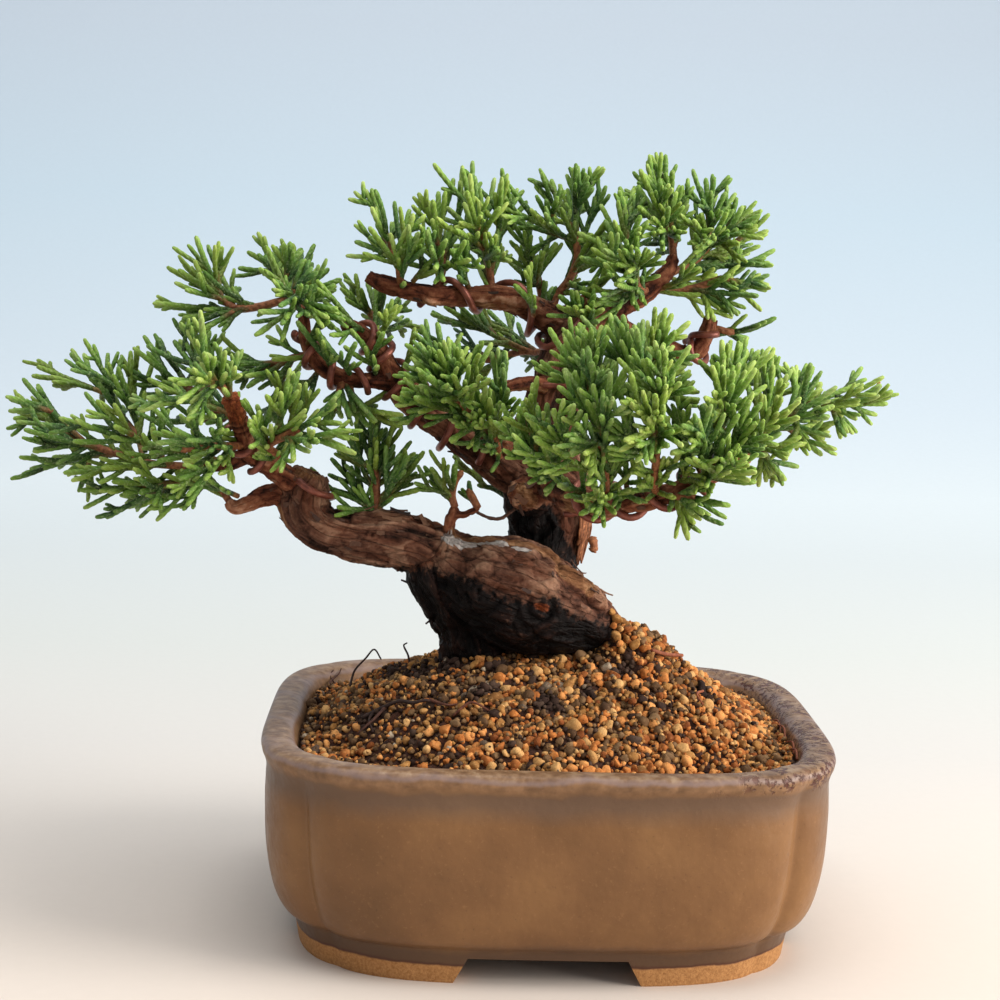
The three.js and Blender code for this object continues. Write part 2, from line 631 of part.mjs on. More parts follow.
// A closed skin over rings. The first and last are closed with a fan round their middle.
function loftGeometry(rings) {
  const positions = rings.flat().flatMap((p) => [p.x, p.y, p.z]);
  const spans = [];
  let base = 0;
  for (const ring of rings) {
    spans.push({ start: base, count: ring.length });
    base += ring.length;
  }
  const triangles = [];
  for (let i = 0; i + 1 < rings.length; i += 1) {
    triangles.push(...stripTriangles(spans[i], spans[i + 1]));
  }
  const middleOf = (ring) => {
    const middle = new THREE.Vector3();
    ring.forEach((p) => middle.add(p));
    return middle.divideScalar(ring.length);
  };
  const first = middleOf(rings[0]);
  const last = middleOf(rings.at(-1));
  positions.push(first.x, first.y, first.z, last.x, last.y, last.z);
  const top = spans.at(-1);
  for (let k = 0; k < spans[0].count; k += 1) {
    triangles.push(base, (k + 1) % spans[0].count, k);
  }
  for (let k = 0; k < top.count; k += 1) {
    triangles.push(base + 1, top.start + k, top.start + ((k + 1) % top.count));
  }
  const geometry = new THREE.BufferGeometry();
  geometry.setAttribute("position", new THREE.Float32BufferAttribute(positions, 3));
  geometry.setIndex(triangles);
  return geometry;
}

// A closed tube through stations { at, radius }. A last radius of 0 ends in a point.
function tubeSolid(stations, sides, grow = 0) {
  const last = stations.length - 1;
  const rings = [];
  let side = null;
  stations.forEach(({ at, radius }, i) => {
    const before = stations[Math.max(i - 1, 0)].at;
    const after = stations[Math.min(i + 1, last)].at;
    const ahead = after.clone().sub(before).normalize();
    if (side === null) {
      const helper = Math.abs(ahead.z) < 0.8 ? new THREE.Vector3(0, 0, 1) : new THREE.Vector3(1, 0, 0);
      side = helper.cross(ahead);
    }
    side.addScaledVector(ahead, -side.dot(ahead)).normalize();
    const across = new THREE.Vector3().crossVectors(ahead, side);
    const centre = at.clone();
    if (i === 0) centre.addScaledVector(ahead, -grow);
    if (i === last) centre.addScaledVector(ahead, grow);
    const size = radius + grow;
    const ring = [];
    for (let k = 0; k < sides; k += 1) {
      const angle = (2 * Math.PI * k) / sides;
      ring.push(
        centre
          .clone()
          .addScaledVector(side, size * Math.cos(angle))
          .addScaledVector(across, size * Math.sin(angle)),
      );
    }
    rings.push(size > 0 ? ring : centre);
  });
  return solidOf(closedTube(rings, sides));
}

function closedTube(rings, sides) {
  const pointed = !Array.isArray(rings.at(-1));
  const apex = pointed ? rings.pop() : null;
  const positions = rings.flat().flatMap((p) => [p.x, p.y, p.z]);
  const triangles = [];
  for (let i = 0; i + 1 < rings.length; i += 1) {
    for (let k = 0; k < sides; k += 1) {
      const a = i * sides + k;
      const b = i * sides + ((k + 1) % sides);
      triangles.push(a, b, b + sides, a, b + sides, a + sides);
    }
  }
  for (let k = 1; k + 1 < sides; k += 1) triangles.push(0, k + 1, k);
  const end = (rings.length - 1) * sides;
  if (pointed) {
    positions.push(apex.x, apex.y, apex.z);
    for (let k = 0; k < sides; k += 1) {
      triangles.push(end + k, end + ((k + 1) % sides), end + sides);
    }
  } else {
    for (let k = 1; k + 1 < sides; k += 1) triangles.push(end, end + k, end + k + 1);
  }
  const geometry = new THREE.BufferGeometry();
  geometry.setAttribute("position", new THREE.Float32BufferAttribute(positions, 3));
  geometry.setIndex(triangles);
  return geometry;
}

// ---------------------------------------------------------------- the pot

// One point of the squared oval, with the corner groove pressed in.
function planPoint(angle, z, halfWidth, halfDepth, squareness, groove) {
  const power = 2 / squareness;
  const cosine = Math.cos(angle);
  const sine = Math.sin(angle);
  const quarter = Math.abs((((angle % (Math.PI / 2)) + Math.PI / 2) % (Math.PI / 2)) - Math.PI / 4);
  const shrink = 1 - groove * Math.exp(-((quarter / GROOVE_ANGLE) ** 2));
  return new THREE.Vector3(
    halfWidth * shrink * Math.sign(cosine) * Math.abs(cosine) ** power,
    halfDepth * shrink * Math.sign(sine) * Math.abs(sine) ** power,
    z,
  );
}

function planRing([z, halfWidth, halfDepth, squareness, groove], inset = 0, sides = POT_SIDES) {
  const ring = [];
  for (let k = 0; k < sides; k += 1) {
    const angle = (2 * Math.PI * k) / sides;
    ring.push(planPoint(angle, z, halfWidth - inset, halfDepth - inset, squareness, groove));
  }
  return ring;
}

// The cut-out between two feet, right through the pot along Y. It starts below the pot.
function footCutout() {
  const below = -0.5;
  const outline = new THREE.Shape([
    new THREE.Vector2(-FOOT_GAP_BOTTOM, below),
    new THREE.Vector2(FOOT_GAP_BOTTOM, below),
    new THREE.Vector2(FOOT_GAP_TOP, FOOT_HEIGHT),
    new THREE.Vector2(-FOOT_GAP_TOP, FOOT_HEIGHT),
  ]);
  const settings = { depth: FOOT_GAP_LENGTH, bevelEnabled: false };
  const geometry = new THREE.ExtrudeGeometry(outline, settings);
  geometry.translate(0, 0, -FOOT_GAP_LENGTH / 2);
  geometry.rotateX(Math.PI / 2);
  return geometry;
}

function makePot() {
  const rings = [...POT_OUTSIDE, ...POT_INSIDE].map((row) => planRing(row));
  let pot = solidOf(loftGeometry(rings));
  const recess = [
    [-1, RECESS_HALF_WIDTH, RECESS_HALF_DEPTH, 3.4, 0],
    [FOOT_HEIGHT, RECESS_HALF_WIDTH - 1, RECESS_HALF_DEPTH - 1, 3.4, 0],
  ];
  pot = pot.subtract(solidOf(loftGeometry(recess.map((row) => planRing(row)))));
  pot = pot.subtract(solidOf(footCutout()));
  pot = pot.subtract(solidOf(footCutout().rotateZ(Math.PI / 2)));
  for (const x of [-DRAIN_X, DRAIN_X]) {
    const depth = 2 * FLOOR_TOP;
    const hole = new THREE.CylinderGeometry(DRAIN_RADIUS, DRAIN_RADIUS, depth, DRAIN_SIDES);
    hole.rotateX(Math.PI / 2);
    hole.translate(x, 0, FLOOR_TOP / 2);
    pot = pot.subtract(solidOf(hole));
  }
  return pot;
}

// A square plate with three rows of three square openings.
function makeDrainMesh(x) {
  const middle = FLOOR_TOP + GAP + MESH_THICKNESS / 2;
  const plate = new THREE.BoxGeometry(MESH_SIDE, MESH_SIDE, MESH_THICKNESS);
  let mesh = solidOf(plate.translate(x, 0, middle));
  for (const row of [-MESH_PITCH, 0, MESH_PITCH]) {
    for (const column of [-MESH_PITCH, 0, MESH_PITCH]) {
      const opening = new THREE.BoxGeometry(MESH_OPENING, MESH_OPENING, 3 * MESH_THICKNESS);
      mesh = mesh.subtract(solidOf(opening.translate(x + row, column, middle)));
    }
  }
  return mesh;
}

// The tie wire runs under the floor and up through both drain holes into the soil.
function anchorSolid(grow = 0) {
  const route = [
    [-DRAIN_X - 3, 0, ANCHOR_TOP],
    [-DRAIN_X, 0, 20],
    [-DRAIN_X, 0, ANCHOR_LOW + 2],
    [-DRAIN_X + 2, 0, ANCHOR_LOW],
    [DRAIN_X - 2, 0, ANCHOR_LOW],
    [DRAIN_X, 0, ANCHOR_LOW + 2],
    [DRAIN_X, 0, 20],
    [DRAIN_X - 6, 0, ANCHOR_TOP],
  ];
  const stations = route.map((p) => ({ at: vector(p), radius: ANCHOR_RADIUS }));
  return tubeSolid(stations, 8, grow);
}

// ---------------------------------------------------------------- the soil

// Height of the soil: a mound over the roots, with a second rise beside the swollen base.
function soilHeight(x, y) {
  const spread = (x / MOUND_HALF_WIDTH) ** 2 + (y / MOUND_HALF_DEPTH) ** 2;
  const mound = SOIL_RISE * Math.max(0, 1 - spread) ** SOIL_SHOULDER;
  const away = Math.hypot(x - SOIL_HUMP.x, y - SOIL_HUMP.y) / SOIL_HUMP.reach;
  return SOIL_EDGE + mound + SOIL_HUMP.rise * Math.exp(-(away ** 2));
}

// One ring of the soil's top, with clods and hollows by turns.
function clodRing(share, sides, parity, random) {
  const ring = planRing(SOIL_RIM, GAP, sides);
  ring.forEach((p, k) => {
    p.x *= share;
    p.y *= share;
    const way = (k + parity) % 2 === 0 ? 1 : -1;
    const size = LEAST_CLOD + (1 - LEAST_CLOD) * random();
    p.z = soilHeight(p.x, p.y) + way * CLOD_RELIEF * size;
  });
  return ring;
}

function makeSoil(cutters) {
  const random = seededRandom(11);
  const rings = [SOIL_FOOT, SOIL_WALL, SOIL_RIM].map((row) => planRing(row, GAP));
  FINE_RINGS.forEach((share, i) => rings.push(clodRing(share, 2 * POT_SIDES, i, random)));
  COARSE_RINGS.forEach((share, i) => rings.push(clodRing(share, POT_SIDES, i, random)));
  let soil = solidOf(loftGeometry(rings));
  for (const cutter of cutters) soil = soil.subtract(cutter);
  return largestBody(soil);
}

// The plain pocket in the soil over each drain mesh.
function meshPocket(x) {
  const side = MESH_SIDE + 2 * GAP;
  const height = MESH_THICKNESS + 2 * GAP + 1;
  const pocket = new THREE.BoxGeometry(side, side, height);
  pocket.translate(x, 0, FLOOR_TOP + MESH_THICKNESS + 2 * GAP - height / 2);
  return solidOf(pocket);
}

// ---------------------------------------------------------------- the tree

function stationsOf(rows) {
  return rows.map(([x, y, z, radius]) => ({ at: new THREE.Vector3(x, y, z), radius }));
}

function sidesFor(rows) {
  const thickest = Math.max(...rows.map((row) => row[3]));
  if (thickest > 7) return 10;
  if (thickest > 4.5) return 8;
  return thickest > 2.7 ? 7 : 5;
}

function makeWood(grow = 0) {
  const limbs = [
    TRUNK,
    ROOT_STEM,
    SWOLLEN_BASE,
    LEFT_LIMB,
    LEFT_TWIG,
    LEFT_RISER,
    LEFT_REACH,
    BRANCH,
    BRANCH_FORK,
    TOP_BRANCH,
    FRONT_BRANCH,
    BACK_BRANCH,
    DEAD_TWIG,
    ...SPURS,
  ];
  return join(limbs.map((rows) => tubeSolid(stationsOf(rows), sidesFor(rows), grow)));
}

// A wire wound round a limb, clear of its bark.
function makeWire({ route, from, to, turns, start }) {
  const rows = WIRE_ROUTES[route];
  const curve = new THREE.CatmullRomCurve3(rows.map(vector), false, "centripetal");
  const steps = Math.ceil(Math.abs(turns) * WIRE_STEPS);
  const stations = [];
  let side = null;
  for (let i = 0; i <= steps; i += 1) {
    const share = from + ((to - from) * i) / steps;
    const centre = curve.getPoint(share);
    const ahead = curve.getTangent(share);
    side = side ?? new THREE.Vector3(0, 0, 1).cross(ahead);
    side.addScaledVector(ahead, -side.dot(ahead)).normalize();
    const across = new THREE.Vector3().crossVectors(ahead, side);
    const place = share * (rows.length - 1);
    const index = Math.min(Math.floor(place), rows.length - 2);
    const limb = THREE.MathUtils.lerp(rows[index][3], rows[index + 1][3], place - index);
    const reach = limb + WIRE_RADIUS + WIRE_CLEARANCE;
    const angle = start + (2 * Math.PI * turns * i) / steps;
    centre.addScaledVector(side, reach * Math.cos(angle));
    centre.addScaledVector(across, reach * Math.sin(angle));
    stations.push({ at: centre, radius: WIRE_RADIUS });
  }
  return tubeSolid(stations, WIRE_SIDES);
}

// ---------------------------------------------------------------- the foliage

function coreSolid(spray, grow = 0) {
  const last = spray.core.length - 1;
  const stations = spray.core.map((p, i) => ({
    at: vector(p),
    radius: CORE_RADIUS - (CORE_TAPER * i) / last,
  }));
  return tubeSolid(stations, 4, grow);
}

// Where a shoot to a tip leaves: near it, and heading roughly towards it.
function leavingJoint(joints, tip) {
  let best = null;
  for (const joint of joints) {
    const way = tip.clone().sub(joint.at);
    const length = way.length();
    const turn = TURN_COST - way.normalize().dot(joint.ahead);
    const cost = length * turn * (1 + ORDER_COST * joint.order);
    if (best === null || cost < best.cost) best = { joint, way, length, cost };
  }
  return best;
}

function shootStations({ joint, way, length }, tip) {
  const { at, ahead } = joint;
  const root = { at, radius: TWIGLET_RADIUS };
  const end = { at: tip, radius: 0 };
  if (length < STRAIGHT_BELOW) return [root, end];
  const middle = at.clone().lerp(tip, 0.5);
  middle.addScaledVector(ahead, BEND.ahead * length);
  middle.addScaledVector(way, -BEND.back * length);
  middle.z -= BEND.sag * length;
  return [root, { at: middle, radius: TWIGLET_RADIUS }, end];
}

function jointsOf(stations, order) {
  const curve = new THREE.CatmullRomCurve3(stations.map(({ at }) => at), false, "centripetal");
  return SHOOT_JOINTS.map((share) => ({
    at: curve.getPoint(share),
    ahead: curve.getTangent(share),
    order,
  }));
}

function isClear(stations, obstacles) {
  const fat = stations.map(({ at, radius }) => ({ at, radius: radius + GAP }));
  const probe = tubeSolid(fat, 3);
  return obstacles.every((other) => probe.intersect(other).isEmpty());
}

// A spray is its core with a shoot to every tip, the farthest first, and each from the
// nearest part of what already stands. A shoot that would cross another piece is bent
// clear of it, and left out if it still would.
function makeSpray(spray, seed, obstacles, woodRoom) {
  const random = seededRandom(seed);
  const curve = new THREE.CatmullRomCurve3(spray.core.map(vector), false, "centripetal");
  const joints = [];
  for (let share = 0.1; share <= 1; share += CORE_JOINT_STEP) {
    joints.push({ at: curve.getPoint(share), ahead: curve.getTangent(share), order: 0 });
  }
  const distance = (tip) => Math.min(...joints.map(({ at }) => at.distanceTo(tip)));
  const tips = spray.tips.map(vector);
  const far = new Map(tips.map((tip) => [tip, distance(tip)]));
  tips.sort((a, b) => far.get(b) - far.get(a));
  const pieces = [coreSolid(spray)];
  for (const tip of tips) {
    let leave = leavingJoint(joints, tip);
    let stations = shootStations(leave, tip);
    for (let tries = 0; tries < TRIES && !isClear(stations, obstacles); tries += 1) {
      const moved = tip.clone();
      const sway = FIRST_SWAY + MORE_SWAY * tries;
      moved.x += sway * (random() - 0.5);
      moved.y += 3 * sway * (random() - 0.5);
      moved.z += sway * (random() - 0.5);
      leave = leavingJoint(joints, moved);
      stations = shootStations(leave, moved);
    }
    const tooShort = stations[0].at.distanceTo(tip) < SHORTEST_SHOOT;
    if (tooShort || !isClear(stations, obstacles)) continue;
    pieces.push(tubeSolid(stations, 3));
    joints.splice(joints.indexOf(leave.joint), 1, ...jointsOf(stations, leave.joint.order + 1));
  }
  return largestBody(join(pieces).subtract(woodRoom));
}

// ---------------------------------------------------------------- the object

const bonsai = new THREE.Group();

const wood = makeWood();
const woodRoom = makeWood(GAP);
const drainX = { drain_mesh_left: -DRAIN_X, drain_mesh_right: DRAIN_X };
const soilCutters = [woodRoom, anchorSolid(GAP), meshPocket(-DRAIN_X), meshPocket(DRAIN_X)];

bonsai.add(namedMesh("pot", makePot(), COLOURS.glaze, 0.35));
for (const [name, x] of Object.entries(drainX)) {
  bonsai.add(namedMesh(name, makeDrainMesh(x), COLOURS.mesh, 0.7));
}
bonsai.add(namedMesh("tie_wire", anchorSolid(), COLOURS.galvanised, 0.4, 0.9));
bonsai.add(namedMesh("soil", makeSoil(soilCutters), COLOURS.soil, 0.95));
bonsai.add(namedMesh("tree", wood, COLOURS.bark, 0.85));

const wires = WIRES.map((wire) => makeWire(wire));
WIRES.forEach(({ name }, i) => {
  bonsai.add(namedMesh(name, wires[i], COLOURS.copper, 0.45, 0.6));
});

const sprays = Object.entries(SPRAYS);
const sprayBodies = sprays.map(([, spray]) => coreSolid(spray));
sprays.forEach(([name, spray], i) => {
  const others = sprayBodies.filter((_, k) => k !== i);
  sprayBodies[i] = makeSpray(spray, 100 + i, [wood, ...wires, ...others], woodRoom);
  bonsai.add(namedMesh(name, sprayBodies[i], COLOURS.foliage, 0.6));
});

// Origin under the middle of the bounding box.
const box = new THREE.Box3().setFromObject(bonsai);
const centre = box.getCenter(new THREE.Vector3());
bonsai.children.forEach((mesh) => mesh.position.set(-centre.x, -centre.y, -box.min.z));

export default bonsai;
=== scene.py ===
# A small juniper bonsai in a four-lobed glazed pot, dressed over its CAD solids.
#
# Shapes are worked out in millimetres from the middle of the pot's footprint, +X to the
# right, +Y to the back and +Z up, and become metres in the part's frame as a mesh is made.

import math
import random

import bpy
import numpy as np
from bpy.props import FloatProperty, FloatVectorProperty, PointerProperty
from mathutils import Matrix, Vector, noise
from mathutils.bvhtree import BVHTree


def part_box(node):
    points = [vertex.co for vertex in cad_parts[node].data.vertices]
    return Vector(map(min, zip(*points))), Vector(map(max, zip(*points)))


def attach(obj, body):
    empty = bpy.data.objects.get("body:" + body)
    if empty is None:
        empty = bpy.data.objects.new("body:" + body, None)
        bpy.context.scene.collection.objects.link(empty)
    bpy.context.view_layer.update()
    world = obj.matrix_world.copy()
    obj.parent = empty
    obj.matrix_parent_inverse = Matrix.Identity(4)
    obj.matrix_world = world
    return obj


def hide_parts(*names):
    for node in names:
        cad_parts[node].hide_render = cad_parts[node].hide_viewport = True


bl_info = {
    "name": "Potted juniper bonsai",
    "version": (1, 0, 0),
    "blender": (4, 5, 0),
    "location": "3D View > Sidebar > Bonsai",
    "description": "Builds a juniper bonsai, its glazed pot and a plain studio",
    "category": "Add Mesh",
}

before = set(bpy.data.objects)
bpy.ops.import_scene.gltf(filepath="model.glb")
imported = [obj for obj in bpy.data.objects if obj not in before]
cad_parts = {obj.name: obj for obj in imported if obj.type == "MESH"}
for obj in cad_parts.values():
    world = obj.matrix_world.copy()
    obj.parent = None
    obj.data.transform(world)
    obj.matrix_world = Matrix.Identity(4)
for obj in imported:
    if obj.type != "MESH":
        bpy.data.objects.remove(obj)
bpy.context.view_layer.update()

# ------------------------------------------------------------------ sizes, in millimetres

# The pot: height, half width, half depth, squareness of the plan, and the depth of the
# groove at each corner as a share of the distance from the middle.
POT_OUTSIDE = [
    (0, 52.2, 46, 3.5, 0.012),
    (3, 52.7, 46.5, 3.5, 0.014),
    (6.5, 53.3, 47.1, 3.6, 0.018),
    (7.6, 53.9, 47.7, 3.6, 0.024),
    (9.5, 55.9, 49.7, 3.8, 0.034),
    (14, 57.6, 51.4, 4, 0.038),
    (22, 58.8, 52.6, 4.2, 0.038),
    (31, 59.1, 52.9, 4.3, 0.034),
    (36, 59, 52.9, 4.3, 0.028),
    (39, 58.9, 52.8, 4.3, 0.019),
    (41, 59.3, 53.2, 4.3, 0.013),
    (42.4, 59.8, 53.8, 4.3, 0.011),
]
POT_LIP = [
    (43.4, 60, 54, 4.3, 0.01),
    (44.2, 59.8, 53.8, 4.3, 0.01),
    (44.75, 59.3, 53.3, 4.3, 0.01),
    (45, 58.4, 52.4, 4.3, 0.011),
    (45, 57, 51, 4.3, 0.012),
    (44.9, 55.6, 49.6, 4.3, 0.013),
    (44.5, 54.4, 48.4, 4.3, 0.014),
    (43.8, 53.6, 47.6, 4.3, 0.016),
]
POT_INSIDE = [
    (42.4, 52.9, 46.9, 4.3, 0.02),
    (40, 52.4, 46.4, 4.3, 0.022),
    (30, 51.8, 45.8, 4.2, 0.022),
    (18, 51, 45, 4.1, 0.022),
    (12.5, 49.5, 43.5, 3.9, 0.022),
    (10.5, 47, 41, 3.7, 0.022),
]
POT_SIDES = 480
POT_BEVEL = 0.35
POT_BEVEL_ANGLE = 0.9
POT_SHARP_ANGLE = math.radians(38)
GROOVE_ANGLE = math.radians(5.2)
GROOVE_ROUNDING = 0.22
FOOT_HEIGHT = 5.5
FOOT_GAP_BOTTOM = 19.1
FOOT_GAP_TOP = 16
FOOT_GAP_REACH = 75
RECESS_HALF_WIDTH = 44
RECESS_HALF_DEPTH = 38
RECESS_SQUARENESS = 3.4
DRAIN_X = 24
DRAIN_RADIUS = 5
DRAIN_TOP = 14
DRAIN_SIDES = 48
FLOOR_TOP = 10.5

# The inner wall, which the soil stays inside.
WALL_HALF_WIDTH = 51.7
WALL_HALF_DEPTH = 45.7
WALL_SQUARENESS = 4.3

SOIL_GAP = 0.3
SOIL_LOWEST = 38  # where the trunk stands, the solid soil has a deep pocket
SOIL_AT_RIM = 42.2
# The fine soil under the grains: its rings at the floor, at the waist and along the wall.
BED_FOOT = (FLOOR_TOP + SOIL_GAP, 46.7, 40.7, 3.7, 0.022)
BED_WAIST = (18, 50.7, 44.7, 4.1, 0.022)
BED_EDGE = (0, 52.1, 46.1, 4.3, 0.022)
BED_RINGS = 60
BED_MIDDLE = 0.03  # the innermost ring, as a share of the outer one
BED_SUNK = 1.3  # below the top of the solid soil
BED_AT_TRUNK = 46.0  # where no ring has met the solid soil yet

WIRE_RADIUS = 0.75
WIRE_CLEARANCE = 0.15
WIRE_SIDES = 12
WIRE_STEPS_A_TURN = 24
WIRE_ROUTE_STEPS = 12

# ------------------------------------------------------------------ the tree's limbs

# Each limb is a row of stations: x, y, z, radius.
TRUNK = [
    (0.5, -2, 68, 6.5), (-0.5, 4, 73, 6.8), (-0.2, 8, 78.5, 7.8), (0.5, 10, 85, 9.5),
    (0, 10.6, 91, 9.7), (-1, 10, 96.5, 8.8), (-1.8, 9, 102.5, 7.4), (-0.7, 8, 109.5, 6.3),
    (0.8, 7, 116.2, 5.7), (1.8, 6, 122.2, 5.2), (3.7, 5.2, 127.3, 4.6), (7.4, 5, 130.8, 3.7),
    (11.4, 5, 132.8, 3), (16, 5, 135.2, 2.7), (20.4, 6, 137.9, 2.4), (24, 8, 141, 2),
    (25.6, 9.4, 144.6, 1.6),
]
ROOT_STEM = [
    (-13, 3, 33, 9.5), (-14, 2, 44, 8.8), (-14.8, 1.5, 54, 8.3), (-15.2, 1, 60, 8),
    (-16.6, 0, 65, 7.7), (-19.8, -1, 70.5, 8.3), (-23.5, -2, 75.5, 8), (-26, -2, 79.5, 6.4),
]
SWOLLEN_BASE = [
    (-25, -2, 80, 5.8), (-19, -3, 76.5, 9), (-11.6, -4, 73.2, 11.6), (-4, -5, 70.6, 11.8),
    (2.5, -6, 68.6, 10), (7.9, -6, 67.2, 7.6), (11.4, -6, 66.8, 5.8), (13.6, -6, 66.8, 3.6),
]
LEFT_LIMB = [
    (-21, -2, 78, 6.8), (-30, -3, 81.8, 6.3), (-36.6, -4, 83, 5.8), (-43, -5, 83.8, 5.2),
    (-49, -6, 85.4, 5.2), (-52.6, -6, 89, 5.5), (-52.6, -6, 93.6, 5.2), (-51.2, -6, 97.4, 3.9),
]
LEFT_TWIG = [
    (-54.5, -6, 92.8, 2.6), (-61.6, -7, 91.9, 2.3), (-65.1, -8, 90.2, 1.8),
    (-67.4, -8, 89.6, 1.4), (-68.6, -8, 91, 1.2),
]
LEFT_RISER = [
    (-54.5, -8, 95, 2.6), (-60.5, -12, 99.4, 2.4), (-63.4, -16, 102, 2.3),
    (-64.3, -18, 104.5, 2.2), (-65.1, -21, 108.3, 2), (-66, -24, 112, 1.9),
    (-66.8, -26, 114.4, 1.9),
]
LEFT_REACH = [
    (-63.1, -15, 101.6, 1.9), (-68.4, -12, 99.2, 1.6), (-73.4, -10, 98.1, 1.4),
    (-77.4, -10, 98.2, 1.2),
]
BRANCH = [
    (-1, 9, 91, 5.6), (-4.6, 7.6, 95, 5.4), (-9.2, 6, 97.8, 5), (-15.5, 4, 102.2, 4.4),
    (-22.2, 2, 106.6, 4), (-27.6, 0, 110.4, 3.7), (-32.6, -2, 115, 3.2), (-35.9, -4, 119.6, 2.6),
    (-38, -4.6, 123.6, 2.2), (-41, -6, 126.6, 1.9), (-44.7, -8, 128.8, 1.7),
]
BRANCH_FORK = [
    (-32.2, -2, 114.9, 2.2), (-37.7, -5, 116.9, 2), (-43.5, -8, 117.2, 1.8),
    (-48.1, -9, 119, 1.7), (-51.3, -9, 122.2, 1.6), (-52.9, -8, 126.3, 1.5),
    (-53.6, -8, 131.5, 1.3),
]
TOP_BRANCH = [
    (4.4, 5.4, 127.6, 4), (-1.1, 6, 130.2, 3.6), (-6.7, 4, 133.2, 3), (-12.2, 2, 135, 2.6),
    (-18.6, 0, 135.2, 2.3), (-25, -2, 135.3, 2.4), (-31.4, -3, 136.1, 2.2),
    (-36.7, -4, 137.3, 2.1), (-40.6, -4, 139, 1.5),
]
FRONT_BRANCH = [
    (-0.5, 5, 97.4, 4), (1.6, -5, 95, 3.7), (6.5, -14, 93.8, 3.2), (12.1, -22, 94.6, 2.7),
    (18.6, -28, 96.3, 2.3), (25.1, -32, 99.1, 2), (31.2, -31, 101.9, 1.7),
    (36.9, -27, 104.6, 1.4),
]
BACK_BRANCH = [
    (9.3, 5, 131, 2.8), (18.8, 8, 127.3, 2.2), (28.6, 12, 123.8, 2), (32, 12, 124.2, 2),
    (33.6, 12, 127.6, 1.9), (34.9, 12, 131.6, 1.8),
]
DEAD_TWIG = [
    (0, 5, 115.6, 2.2), (-5.3, 0.6, 117, 1.7), (-10.6, -1, 115.9, 1.4), (-15.8, -2, 114.2, 0.8),
]
# Short pieces of side wood: stubs at the fork, a low twig with its branch, and a stub above.
SPURS = [
    [(-1, 8, 91, 5.5), (-5.6, 0, 93, 3.8), (-7.4, -3, 93.8, 2.4)],
    [(-7.8, 7, 101.5, 3.6), (-11.2, -2.2, 106.6, 2.7)],
    [(-21.8, -4.4, 84, 1.4), (-21.5, -6, 88.1, 1.2), (-20.7, -6, 90.5, 1)],
    [(-21.5, -6, 88.8, 1), (-18.3, -6, 89.1, 0.9), (-15.8, -6, 90.4, 0.8)],
    [(13, 5, 133.4, 1.6), (15.2, 2.4, 129.2, 1.3)],
]
